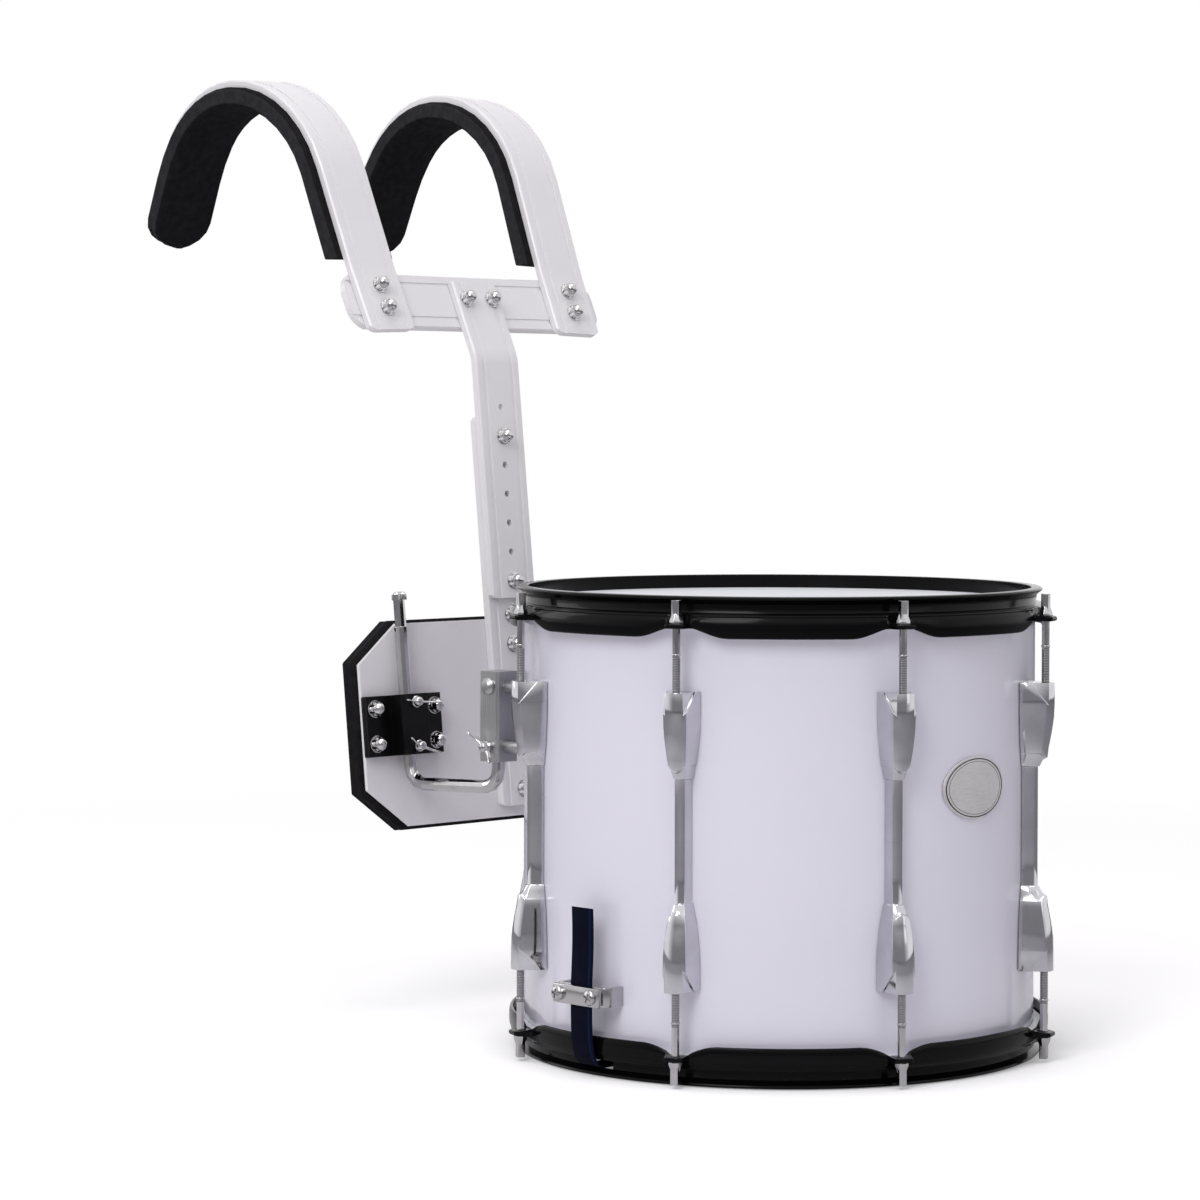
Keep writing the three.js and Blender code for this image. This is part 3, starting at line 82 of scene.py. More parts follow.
def mathNode(tree, operation, a, b=None):
    node = tree.nodes.new("ShaderNodeMath")
    node.operation = operation
    feed(tree, node.inputs[0], a)
    feed(tree, node.inputs[1], b)
    return node.outputs[0]


def mixColour(tree, factor, a, b):
    node = tree.nodes.new("ShaderNodeMix")
    node.data_type = "RGBA"
    for socket, value in zip((0, 6, 7), (factor, a, b)):  # the sockets of the factor and the two colours
        feed(tree, node.inputs[socket], value)
    return node.outputs[2]


def rangeOf(tree, value, fromLow, fromHigh, toLow, toHigh):
    node = tree.nodes.new("ShaderNodeMapRange")
    for i, number in enumerate((value, fromLow, fromHigh, toLow, toHigh)):
        feed(tree, node.inputs[i], number)
    return node.outputs[0]


def noise(tree, vector, scale, detail, rough=0.5):
    node = tree.nodes.new("ShaderNodeTexNoise")
    for label, value in (("Vector", vector), ("Scale", scale), ("Detail", detail), ("Roughness", rough)):
        feed(tree, node.inputs[label], value)
    return node.outputs[0]


def splitOf(tree, vector):
    node = tree.nodes.new("ShaderNodeSeparateXYZ")
    feed(tree, node.inputs[0], vector)
    return node.outputs


def vectorNode(tree, operation, a, b=None):
    node = tree.nodes.new("ShaderNodeVectorMath")
    node.operation = operation
    tree.links.new(a, node.inputs[0])
    if isinstance(b, tuple):
        node.inputs[1].default_value = b
    elif b is not None:
        tree.links.new(b, node.inputs[1])
    return node.outputs


def inBands(tree, value, bands):  # 1 inside any of the bands, else 0
    mask = None
    for low, high in bands:
        above, below = mathNode(tree, "GREATER_THAN", value, low), mathNode(tree, "LESS_THAN", value, high)
        inside = mathNode(tree, "MULTIPLY", above, below)
        mask = inside if mask is None else mathNode(tree, "MAXIMUM", mask, inside)
    return mask


# shared effects
effects = {
    "slowShare": 0.12, "maskFrom": 0.35, "maskTo": 0.65, "smearFrom": 0.4, "smearTo": 0.68, "weaveEdge": 0.8,
}


def newGroup(name, inputs, outputs):  # inputs with their default values; a linked vector has None
    group = bpy.data.node_groups.new(name, "ShaderNodeTree")
    for label, value in inputs.items():
        kind = "NodeSocketFloat" if isinstance(value, float) else "NodeSocketVector"
        socket = group.interface.new_socket(name=label, in_out="INPUT", socket_type=kind)
        if value is not None:
            socket.default_value = value
    for label in outputs:
        group.interface.new_socket(name=label, in_out="OUTPUT", socket_type="NodeSocketFloat")
    return group, group.nodes.new("NodeGroupInput").outputs, group.nodes.new("NodeGroupOutput").inputs


def makeGrainGroup():  # fine relief over a surface, and the slower part of it as a mask
    inputs = {"Vector": None, "Scale": 900.0, "Coarse": 0.3}
    group, given, result = newGroup("fineGrain", inputs, ("Height", "Mask"))
    fine = noise(group, given["Vector"], given["Scale"], detail=2.0)
    slowScale = mathNode(group, "MULTIPLY", given["Scale"], effects["slowShare"])
    slow = noise(group, given["Vector"], slowScale, detail=2.0)
    coarse = mathNode(group, "MULTIPLY", slow, given["Coarse"])
    feed(group, result["Height"], mathNode(group, "ADD", fine, coarse))
    feed(group, result["Mask"], rangeOf(group, slow, effects["maskFrom"], effects["maskTo"], 0.0, 1.0))
    return group


def makeHandlingGroup():  # faint smears and dust that change the roughness and the colour
    inputs = {"Vector": None, "Low": 0.2, "High": 0.35, "Scale": 18.0}
    group, given, result = newGroup("handling", inputs, ("Roughness", "Smear"))
    broad = noise(group, given["Vector"], given["Scale"], detail=4.0, rough=0.6)
    smear = rangeOf(group, broad, effects["smearFrom"], effects["smearTo"], 0.0, 1.0)
    more = mathNode(group, "MULTIPLY", smear, mathNode(group, "SUBTRACT", given["High"], given["Low"]))
    feed(group, result["Roughness"], mathNode(group, "ADD", given["Low"], more))
    feed(group, result["Smear"], smear)
    return group


def makeStreakGroup():  # the drawn or brushed lines of a metal, along one axis
    inputs = {"Vector": None, "Stretch": (1.0, 1.0, 0.02), "Scale": 1500.0}
    group, given, result = newGroup("streaks", inputs, ("Height", "Mask"))
    scaled = vectorNode(group, "MULTIPLY", given["Vector"], given["Stretch"])[0]
    lines = noise(group, scaled, given["Scale"], detail=2.0, rough=0.7)
    feed(group, result["Height"], lines)
    feed(group, result["Mask"], rangeOf(group, lines, effects["maskFrom"], effects["maskTo"], 0.0, 1.0))
    return group


def makeWeaveGroup():  # warp and weft of a narrow woven band, as threads in a metre across and along it
    inputs = {"Vector": None, "Across": 1100.0, "Along": 1400.0}
    group, given, result = newGroup("weave", inputs, ("Height", "Mask"))
    split = splitOf(group, given["Vector"])
    waves = []
    for place, label in ((split[1], "Across"), (split[2], "Along")):
        turns = mathNode(group, "MULTIPLY", given[label], math.tau)
        waves.append(mathNode(group, "SINE", mathNode(group, "MULTIPLY", place, turns)))
    cross = mathNode(group, "MULTIPLY", *waves)
    feed(group, result["Height"], cross)
    feed(group, result["Mask"], rangeOf(group, cross, -effects["weaveEdge"], effects["weaveEdge"], 0.0, 1.0))
    return group


grainGroup = makeGrainGroup()
handlingGroup = makeHandlingGroup()
streakGroup = makeStreakGroup()
weaveGroup = makeWeaveGroup()
print("shared effects ready")


# finishes
def useGroup(tree, group, vector, **values):
    node = tree.nodes.new("ShaderNodeGroup")
    node.node_tree = group
    tree.links.new(vector, node.inputs["Vector"])
    for label, value in values.items():
        node.inputs[label.capitalize()].default_value = value
    return node.outputs


def startMaterial(name, low, high, scale, metallic=0.0, coat=0.0, coatRoughness=0.1, specular=0.5):
    # low and high are the ends of the roughness, and scale is that of the wear between them
    material = bpy.data.materials.new(name)
    material.use_nodes = True
    tree = material.node_tree
    shader = tree.nodes["Principled BSDF"]
    shader.inputs["Metallic"].default_value = metallic
    shader.inputs["Coat Weight"].default_value = coat
    shader.inputs["Coat Roughness"].default_value = coatRoughness
    shader.inputs["Specular IOR Level"].default_value = specular
    where = tree.nodes.new("ShaderNodeTexCoord").outputs["Object"]
    wear = useGroup(tree, handlingGroup, where, low=low, high=high, scale=scale)
    tree.links.new(wear["Roughness"], shader.inputs["Roughness"])
    return material, tree, where, wear["Smear"]


def dressShader(tree, colour, height, strength, distance):
    shader = tree.nodes["Principled BSDF"]
    bump = tree.nodes.new("ShaderNodeBump")
    bump.inputs["Strength"].default_value = strength
    bump.inputs["Distance"].default_value = distance
    tree.links.new(height, bump.inputs["Height"])
    tree.links.new(bump.outputs[0], shader.inputs["Normal"])
    tree.links.new(colour, shader.inputs["Base Color"])


def lacquerFinish(name, colour, shade, low, high, grain, depth, coat=0.0, specular=0.5):
    surface = dict(coat=coat, coatRoughness=0.06, specular=specular)
    material, tree, where, smear = startMaterial(name, low, high, scale=9.0, **surface)
    relief = useGroup(tree, grainGroup, where, scale=grain, coarse=0.5)
    dressShader(tree, mixColour(tree, smear, colour, shade), relief["Height"], strength=0.25, distance=depth)
    return material


def platedFinish(name, colour, shade, low, high, grain, depth):
    material, tree, where, smear = startMaterial(name, low, high, scale=30.0, metallic=1.0)
    relief = useGroup(tree, grainGroup, where, scale=grain, coarse=1.0)
    dressShader(tree, mixColour(tree, smear, colour, shade), relief["Height"], strength=0.2, distance=depth)
    return material


def brushedFinish(name, colour, shade, low, high, stretch):
    material, tree, where, _ = startMaterial(name, low, high, scale=25.0, metallic=1.0)
    lines = useGroup(tree, streakGroup, where, stretch=stretch, scale=2200.0)
    base = mixColour(tree, lines["Mask"], colour, shade)
    dressShader(tree, base, lines["Height"], strength=0.2, distance=0.00005)
    return material


def threadFinish(name, colour, valleyShade, bands, pitch):  # chrome with a thread cut in it between given heights, its valleys darkened as painted shade
    material, tree, where, _ = startMaterial(name, low=0.1, high=0.2, scale=60.0, metallic=1.0)
    height = splitOf(tree, where)[2]
    turns = mathNode(tree, "SINE", mathNode(tree, "MULTIPLY", height, math.tau / pitch))
    mask = inBands(tree, height, bands)
    # the thread's valleys take the darker colour: painted shade in the grooves
    valleyShadeShare = mathNode(tree, "MULTIPLY", rangeOf(tree, turns, -1.0, 1.0, 0.95, 0.35), mask)
    relief = mathNode(tree, "MULTIPLY", turns, mask)
    base = mixColour(tree, valleyShadeShare, colour, valleyShade)
    dressShader(tree, base, relief, strength=0.4, distance=0.0002)
    return material


def foamFinish(name, dark, pale):
    material, tree, where, _ = startMaterial(name, low=0.72, high=0.9, scale=14.0, specular=0.05)
    pores = useGroup(tree, grainGroup, where, scale=1500.0, coarse=0.8)
    base = mixColour(tree, pores["Mask"], dark, pale)
    dressShader(tree, base, pores["Height"], strength=0.4, distance=0.0003)
    return material


def ribbonFinish(name, dark, pale, line, lineAt):  # ribbed weave, a lighter line at its place from the axis
    material, tree, where, _ = startMaterial(name, low=0.7, high=0.9, scale=40.0, specular=0.06)
    threads = useGroup(tree, weaveGroup, where, across=900.0, along=700.0)
    fromAxis = mathNode(tree, "SUBTRACT", splitOf(tree, where)[1], axisY)
    weave = mixColour(tree, threads["Mask"], dark, pale)
    base = mixColour(tree, inBands(tree, fromAxis, (lineAt,)), weave, line)
    dressShader(tree, base, threads["Height"], strength=0.5, distance=0.0002)
    return material


def coilFinish(name, colour, valleyShade, pitch, half):  # steel strands wound as fine coils along X, with painted shade between the turns
    material, tree, where, _ = startMaterial(name, low=0.22, high=0.34, scale=40.0, metallic=1.0)
    along = splitOf(tree, where)[0]
    turns = mathNode(tree, "SINE", mathNode(tree, "MULTIPLY", along, math.tau / pitch))
    inside = mathNode(tree, "LESS_THAN", mathNode(tree, "ABSOLUTE", along), half)
    winding = mathNode(tree, "MULTIPLY", turns, inside)
    # between the turns the colour goes darker: painted shade
    base = mixColour(tree, rangeOf(tree, winding, -1.0, 1.0, 0.75, 0.0), colour, valleyShade)
    dressShader(tree, base, winding, strength=0.8, distance=0.0004)
    return material


def badgeFinish(name, colour, shade, border, bands):  # a plain oval plate with two border lines
    material, tree, where, _ = startMaterial(name, low=0.4, high=0.52, scale=50.0, metallic=0.85)
    split = splitOf(tree, where)
    low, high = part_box("badge")
    across = mathNode(tree, "DIVIDE", split[0], (high.x - low.x) / 2)
    above = mathNode(tree, "SUBTRACT", split[2], (low.z + high.z) / 2)
    rise = mathNode(tree, "DIVIDE", above, (high.z - low.z) / 2)
    squares = [mathNode(tree, "POWER", mathNode(tree, "ABSOLUTE", side), 2.0) for side in (across, rise)]
    lines = inBands(tree, mathNode(tree, "SQRT", mathNode(tree, "ADD", *squares)), bands)
    streak = useGroup(tree, streakGroup, where, stretch=(0.02, 1.0, 1.0), scale=2600.0)
    base = mixColour(tree, lines, mixColour(tree, streak["Mask"], colour, shade), border)
    relief = mathNode(tree, "SUBTRACT", 1.0, lines)
    dressShader(tree, base, relief, strength=0.6, distance=0.0003)
    return material


looks = {
    "whiteShell": (lacquerFinish, dict(colour=(0.8, 0.785, 0.885), shade=(0.785, 0.77, 0.87), low=0.16,
        high=0.24, grain=60.0, depth=0.00015, coat=0.7)),
    "headFilm": (lacquerFinish, dict(colour=(0.78, 0.8, 0.83), shade=(0.74, 0.76, 0.79), low=0.4, high=0.55,
        grain=1200.0, depth=0.0001, coat=0.1)),
    "blackEnamel": (lacquerFinish, dict(colour=(0.002, 0.002, 0.0024), shade=(0.003, 0.003, 0.0034),
        low=0.12, high=0.2, grain=160.0, depth=0.0001, specular=0.12)),
    "clampEnamel": (lacquerFinish, dict(colour=(0.002, 0.002, 0.0024), shade=(0.004, 0.004, 0.0044),
        low=0.35, high=0.5, grain=500.0, depth=0.00012, specular=0.2)),
    "whiteCoat": (lacquerFinish, dict(colour=(0.8, 0.79, 0.805), shade=(0.77, 0.76, 0.78), low=0.32,
        high=0.45, grain=420.0, depth=0.0001, coat=0.2)),
    "knobPlastic": (lacquerFinish, dict(colour=(0.012, 0.012, 0.012), shade=(0.02, 0.02, 0.02), low=0.4,
        high=0.5, grain=900.0, depth=0.0001)),
    "castChrome": (platedFinish, dict(colour=(0.65, 0.645, 0.68), shade=(0.57, 0.565, 0.59), low=0.07,
        high=0.15, grain=90.0, depth=0.0002)),
    "brightChrome": (platedFinish, dict(colour=(0.6, 0.59, 0.6), shade=(0.48, 0.47, 0.48), low=0.07,
        high=0.16, grain=300.0, depth=0.0001)),
    "clampNickel": (platedFinish, dict(colour=(0.5, 0.49, 0.5), shade=(0.4, 0.39, 0.4), low=0.14, high=0.24,
        grain=260.0, depth=0.0001)),
    "rodChrome": (threadFinish, dict(colour=(0.56, 0.55, 0.56), valleyShade=(0.12, 0.12, 0.13), pitch=0.0011,
        bands=((0.225, 0.281), (0.04, 0.096)))),
    "receiverAlloy": (brushedFinish, dict(colour=(0.46, 0.46, 0.47), shade=(0.38, 0.38, 0.39), low=0.3,
        high=0.42, stretch=(1.0, 1.0, 0.02))),
    "snareSteel": (coilFinish, dict(colour=(0.62, 0.62, 0.61), valleyShade=(0.16, 0.16, 0.16), pitch=0.0016,
        half=0.138)),
    "padFoam": (foamFinish, dict(dark=(0.0085, 0.0078, 0.0092), pale=(0.013, 0.0122, 0.014))),
    # a paler copy of the foam for the shoulder pads' sides: painted light
    "padFoamCut": (foamFinish, dict(dark=(0.021, 0.0212, 0.0235), pale=(0.03, 0.0305, 0.0335))),
    "navyRibbon": (ribbonFinish, dict(dark=(0.0014, 0.0018, 0.0075), pale=(0.0036, 0.0045, 0.0165),
        line=(0.004, 0.011, 0.045), lineAt=(0.0082, 0.0098))),
    "badgePlate": (badgeFinish, dict(colour=(0.8, 0.78, 0.79), shade=(0.68, 0.66, 0.68),
        border=(0.03, 0.03, 0.035), bands=((0.9, 0.935), (0.83, 0.845)))),
}
finishes = {name: make(name, **look) for name, (make, look) in looks.items()}
print("finishes ready:", len(finishes))


# the CAD's own nodes: the first words found in a node's name tell its finish, and the rest are chrome
nodeFinishes = {
    "drum_shell": "whiteShell", "_head": "headFilm", "_hoop": "blackEnamel", "lug_": "castChrome",
    "tension_rod": "rodChrome", "ribbon_clamp": "clampNickel", "clamp_": "clampEnamel",
    "wing_": "brightChrome", "receiver_": "receiverAlloy", "snare_wires": "snareSteel",
    "knob": "knobPlastic", "ribbon": "navyRibbon", "badge": "badgePlate", "pad": "padFoam",
    "rear_post": "whiteCoat", "t_bar": "whiteCoat", "crossbar": "whiteCoat", "belly_plate": "whiteCoat",
    "shoulder_hook": "whiteCoat",
}
edgeRound = {
    "whiteCoat": 0.0006, "castChrome": 0.0009, "blackEnamel": 0.0005, "brightChrome": 0.0003,
    "rodChrome": 0.0004, "clampEnamel": 0.0004, "receiverAlloy": 0.0005, "badgePlate": 0.0004,
    "clampNickel": 0.0004,
}
nodeEdges = {"weld": 0.00002, "bevelAngle": 32, "splitAngle": 34}


def paint(piece, finish):
    piece.data.materials.clear()
    piece.data.materials.append(finishes[finish])


def bevelOn(piece, name, width, angle=None, segments=2):
    bevel = piece.modifiers.new(name, "BEVEL")
    bevel.width = width
    bevel.segments = segments
    if angle:
        bevel.limit_method = "ANGLE"
        bevel.angle_limit = math.radians(angle)


def dressNode(name, node):
    finish = next((nodeFinishes[words] for words in nodeFinishes if words in name), "brightChrome")
    paint(node, finish)
    for polygon in node.data.polygons:
        polygon.use_smooth = True
        polygon.material_index = 0
    node.modifiers.new("weld", "WELD").merge_threshold = nodeEdges["weld"]
    if finish in edgeRound:
        bevelOn(node, "edgeRound", edgeRound[finish], nodeEdges["bevelAngle"])
    node.modifiers.new("split", "EDGE_SPLIT").split_angle = math.radians(nodeEdges["splitAngle"])
    if finish in edgeRound:
        node.modifiers.new("weighted", "WEIGHTED_NORMAL").keep_sharp = True


for nodeName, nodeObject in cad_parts.items():
    dressNode(nodeName, nodeObject)
print("nodes dressed")


# modelling helpers
near = 0.00001  # a point is found within this distance of its place, and merges reach a few times as far
facing = 0.9  # a face looks a way when its normal has more than this share in it


def clearSelection():
    if bpy.context.object and bpy.context.object.mode != "OBJECT":
        bpy.ops.object.mode_set(mode="OBJECT")
    bpy.ops.object.select_all(action="DESELECT")


def only(piece):
    clearSelection()
    piece.select_set(True)
    bpy.context.view_layer.objects.active = piece


def applyAll(piece):
    only(piece)
    for modifier in list(piece.modifiers):
        bpy.ops.object.modifier_apply(modifier=modifier.name)


def settle(piece):  # the place goes into the mesh
    only(piece)
    bpy.ops.object.transform_apply(location=True, rotation=True, scale=True)


def smooth(piece, angle=35):
    only(piece)
    bpy.ops.object.shade_smooth_by_angle(angle=math.radians(angle))


def drop(model):
    bpy.data.objects.remove(model)


def linked(name, mesh):
    piece = bpy.data.objects.new(name, mesh)
    bpy.context.scene.collection.objects.link(piece)
    return piece


def placedCopy(model, matrix):
    piece = linked(model.name + "Copy", model.data.copy())
    piece.data.transform(matrix)
    if matrix.determinant() < 0:
        piece.data.flip_normals()
    return piece


def joinAs(name, copies):
    clearSelection()
    for piece in copies:
        piece.select_set(True)
    bpy.context.view_layer.objects.active = copies[0]
    bpy.ops.object.join()
    joined = bpy.context.object
    joined.name = name
    joined.data.name = name
    return joined


def editAll(piece):  # edit mode, with everything selected
    only(piece)
    bpy.ops.object.mode_set(mode="EDIT")
    bpy.ops.mesh.select_all(action="SELECT")


def endEdit():
    bpy.ops.object.mode_set(mode="OBJECT")


def turnOutward():
    bpy.ops.mesh.select_all(action="SELECT")
    bpy.ops.mesh.normals_make_consistent(inside=False)


def selectFaces(piece, wanted):
    bpy.ops.mesh.select_all(action="DESELECT")
    mesh = bmesh.from_edit_mesh(piece.data)
    for face in mesh.faces:
        if wanted(face.normal):
            face.select_set(True)
    bmesh.update_edit_mesh(piece.data)


def selectPoints(piece, wanted):
    bpy.ops.mesh.select_all(action="DESELECT")
    bpy.ops.mesh.select_mode(type="VERT")
    mesh = bmesh.from_edit_mesh(piece.data)
    for point in mesh.verts:
        if wanted(point.co):
            point.select_set(True)
    mesh.select_flush_mode()
    bmesh.update_edit_mesh(piece.data)


def extrudeBy(x, y, z):
    bpy.ops.mesh.extrude_region_move(TRANSFORM_OT_translate={"value": (x, y, z)})


def raiseTop(piece, steps):  # builds the top up in steps, each a rise and its share of the width before
    editAll(piece)
    selectFaces(piece, lambda normal: normal.z > facing)
    for rise, share in steps:
        extrudeBy(0, 0, rise)
        bpy.ops.transform.resize(value=(share, share, 1))
    endEdit()


def cylinder(sides, radius, high, place=(0, 0, 0), turn=(0, 0, 0)):
    clearSelection()
    bpy.ops.mesh.primitive_cylinder_add(vertices=sides, radius=radius, depth=high, location=place,
                                        rotation=turn)
    piece = bpy.context.object
    settle(piece)
    return piece


def boxPiece(low, high):
    clearSelection()
    bpy.ops.mesh.primitive_cube_add(size=1, location=[(a + b) / 2 for a, b in zip(low, high)])
    piece = bpy.context.object
    piece.scale = [b - a for a, b in zip(low, high)]
    settle(piece)
    return piece


def cutAway(piece, tool):
    cut = piece.modifiers.new("cut", "BOOLEAN")
    cut.operation = "DIFFERENCE"
    cut.solver = "EXACT"
    cut.object = tool
    applyAll(piece)
    drop(tool)


def finishEdges(piece, width, angle=30):
    bevelOn(piece, "fine", width, angle)
    applyAll(piece)
    smooth(piece, angle)


def drawOutline(points):  # a flat face drawn point by point, left in edit mode and selected
    clearSelection()
    bpy.ops.mesh.primitive_plane_add(size=0.001, location=points[0])
    outline = bpy.context.object
    settle(outline)
    bpy.ops.object.mode_set(mode="EDIT")
    bpy.ops.mesh.select_mode(type="VERT")
    bpy.ops.mesh.select_all(action="SELECT")
    bpy.ops.mesh.merge(type="CENTER")
    for before, after in zip(points, points[1:]):
        extrudeBy(*(b - a for a, b in zip(before, after)))
    bpy.ops.mesh.select_all(action="SELECT")
    bpy.ops.mesh.edge_face_add()
    return outline


def register(piece, finish, body, node=None):  # the finish, the body it rides, the node it stands for
    paint(piece, finish)
    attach(piece, body)
    if node:
        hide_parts(node)


# foam pads: the CAD's pads with their facets merged and their edges rounded
padding = {
    "weld": 0.00002, "flat": 1.5, "round": 0.0022, "steps": 3, "edge": 40, "smooth": 32,
    "shoulderWide": 1.12, "sideFacing": 0.75,
}


def foamPad(name, node, shoulder):
    pad = linked(name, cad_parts[node].data.copy())
    editAll(pad)
    bpy.ops.mesh.remove_doubles(threshold=padding["weld"])
    bpy.ops.mesh.select_all(action="SELECT")
    bpy.ops.mesh.dissolve_limited(angle_limit=math.radians(padding["flat"]))
    turnOutward()
    if shoulder:
        middle = (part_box(node)[0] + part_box(node)[1]) / 2
        bpy.ops.transform.resize(value=(padding["shoulderWide"], 1, 1), center_override=middle)
    endEdit()
    bevelOn(pad, "corners", padding["round"], padding["edge"], padding["steps"])
    applyAll(pad)
    smooth(pad, padding["smooth"])
    register(pad, "padFoam", "carrier", node)
    if shoulder:  # the sides that face along X take a paler copy of the foam, painted light where the lamps fall on them; the face that lies on the player keeps the darker foam
        pad.data.materials.append(finishes["padFoamCut"])
        for face in pad.data.polygons:
            face.material_index = int(abs(face.normal.x) > padding["sideFacing"])


for side in ("right", "left"):
    foamPad("shoulderFoam_" + side, "shoulder_pad_" + side, shoulder=True)
foamPad("bellyFoam", "belly_pad", shoulder=False)
print("pads ready")

# cap nuts: a hexagon with a domed top on a washer
capNut = {
    "across": 0.0102, "hex": 0.0038, "trim": 0.0005, "domeShare": 0.46, "domeFoot": 0.001,
    "domeLift": 0.0004, "dome": 0.0048, "domeSides": 20, "domeSteps": 5, "domeOpen": 0.2, "washer": 0.0064,
    "washerSides": 24, "washerThick": 0.0008, "washerEdge": 0.0002,
}
nutRows = {
    "post": (0.0766, 0.0545, -0.0541), "firstHole": 0.2323, "holePitch": 0.0218, "holes": (1, 6),
    "yoke": 0.0127, "hook": 0.0093, "cover": 0.0287, "coverUp": 0.0127,
}


def capNutModel():
    high, thick = capNut["hex"], capNut["washerThick"]
    corner = capNut["across"] / 2 / math.cos(math.pi / 6)
    hexagon = cylinder(6, corner, high, (0, 0, high / 2), (0, 0, math.pi / 6))
    bevelOn(hexagon, "trim", capNut["trim"])
    applyAll(hexagon)
    domeRadius = capNut["across"] * capNut["domeShare"]
    dome = cylinder(capNut["domeSides"], domeRadius, capNut["domeFoot"], (0, 0, high + capNut["domeLift"]))
    steps = capNut["domeSteps"]
    climb = [math.pi / 2 * i / (steps + capNut["domeOpen"]) for i in range(steps + 1)]
    rings = [(capNut["dome"] * (math.sin(after) - math.sin(before)), math.cos(after) / math.cos(before))
             for before, after in zip(climb, climb[1:])]
    raiseTop(dome, rings)
    washer = cylinder(capNut["washerSides"], capNut["washer"], thick, (0, 0, thick / 2))
    bevelOn(washer, "ring", capNut["washerEdge"])
    applyAll(washer)
    model = joinAs("capNutModel", [hexagon, dome, washer])
    smooth(model)
    return model


def nutPlaces():
    carrier, yoke = carrierMatrix(), yokeMatrix()
    bar, gap, sides = carrierShape["barThick"], carrierShape["seatGap"], (-1, 1)
    holes = [nutRows["firstHole"] - nutRows["holePitch"] * hole for hole in nutRows["holes"]]
    places = [carrier @ Matrix.Translation((0, 0, height)) for height in nutRows["post"]]
    places += [carrier @ Matrix.Translation((0, bar + gap, height)) for height in holes]
    places += [yoke @ Matrix.Translation((side * nutRows["yoke"], bar, 0)) for side in sides]
    places += [hookMatrix(side) @ Matrix.Translation((0, bar, end * nutRows["hook"]))
               for side in sides for end in sides]
    covers = [(side * carrierShape["rodOffset"] + across * nutRows["cover"], gap, up * nutRows["coverUp"])
              for side in sides for across in sides for up in sides]
    places += [carrier @ Matrix.Translation(cover) for cover in covers]
    return [place @ Matrix.Rotation(-math.pi / 2, 4, "X") for place in places]


nutModel = capNutModel()
nuts = joinAs("capNuts", [placedCopy(nutModel, place) for place in nutPlaces()])
drop(nutModel)
register(nuts, "brightChrome", "carrier")
print("cap nuts ready")

# lugs: two castings and the bridge between them, modelled for the upper half and mirrored. Each station
# is its share of the casting, half the width at the shell and in front, and the depth of the front edge
lugShape = {
    "count": 8, "turn": 22.5, "half": 0.098, "seat": 0.1779, "casting": 0.057, "bulge": 0.0031, "columns": 8,
    "recess": 0.0014, "recessBack": (0.0106, 0.0065), "recessDown": 0.0132,
    "toolPlace": (0.0105, 0.0125, 0.004), "toolSize": (0.013, 0.03, 0.024), "socket": 0.0036,
    "socketDeep": 0.013, "socketSides": 20, "rodCircle": 0.1926, "weld": 0.00005, "edge": 0.0004,
    "edgeAngle": 30, "scoop": 0.0032, "scoopShares": (0.84, 0.85), "smooth": 26,
    "stations": ((0.0, 0.0115, 0.008, 0.0178), (0.25, 0.0115, 0.008, 0.0178), (0.4, 0.0113, 0.0079, 0.0175),
        (0.5, 0.0109, 0.0077, 0.0169), (0.6, 0.0104, 0.0073, 0.0161), (0.7, 0.0098, 0.0069, 0.0152),
        (0.78, 0.0092, 0.0065, 0.0144), (0.84, 0.0086, 0.0061, 0.0138), (0.85, 0.0082, 0.0055, 0.0127),
        (0.93, 0.0074, 0.0047, 0.011), (1.0, 0.0067, 0.0039, 0.0092), (1.01, 0.0057, 0.0035, 0.0082),
        (1.35, 0.0057, 0.0035, 0.0082), (1.72, 0.0057, 0.0035, 0.0082)),
}


def acrossFront(front):
    return [front * (1 - 2 * i / lugShape["columns"]) for i in range(lugShape["columns"] + 1)]


def lugModel():
    seat, half, stations = lugShape["seat"], lugShape["half"], lugShape["stations"]
    base, front, depth = stations[0][1:]
    arc = [(x, seat + depth + lugShape["bulge"] * (1 - (x / front) ** 2), half) for x in acrossFront(front)]
    lug = drawOutline([(-base, seat, half), (base, seat, half), *arc])
    for before, after in zip(stations, stations[1:]):
        height = half - after[0] * lugShape["casting"]
        extrudeBy(0, 0, (before[0] - after[0]) * lugShape["casting"])
        spread, stand = after[1] / before[1], after[3] / before[3]
        bpy.ops.transform.resize(value=(spread, stand, 1), center_override=(0, seat, height))
        selectPoints(lug, lambda co: abs(co.z - height) < near and co.y > seat + after[3] / 2)
        narrow = after[2] / before[2] / spread
        bpy.ops.transform.resize(value=(narrow, 1, 1), center_override=(0, seat, height))
        selectPoints(lug, lambda co: abs(co.z - height) < near)
    bpy.ops.mesh.delete(type="ONLY_FACE")
    for share, _, front, depth in stations:
        if share in lugShape["scoopShares"]:
            height = half - share * lugShape["casting"]
            for x in acrossFront(front)[1:-1]:
                selectPoints(lug, lambda co: math.hypot(co.x - x, co.z - height) < 2 * near
                             and co.y > seat + depth / 2)
                bpy.ops.transform.translate(value=(0, 0, -lugShape["scoop"] * (1 - (x / front) ** 2)))
    turnOutward()
    endEdit()
    return lug


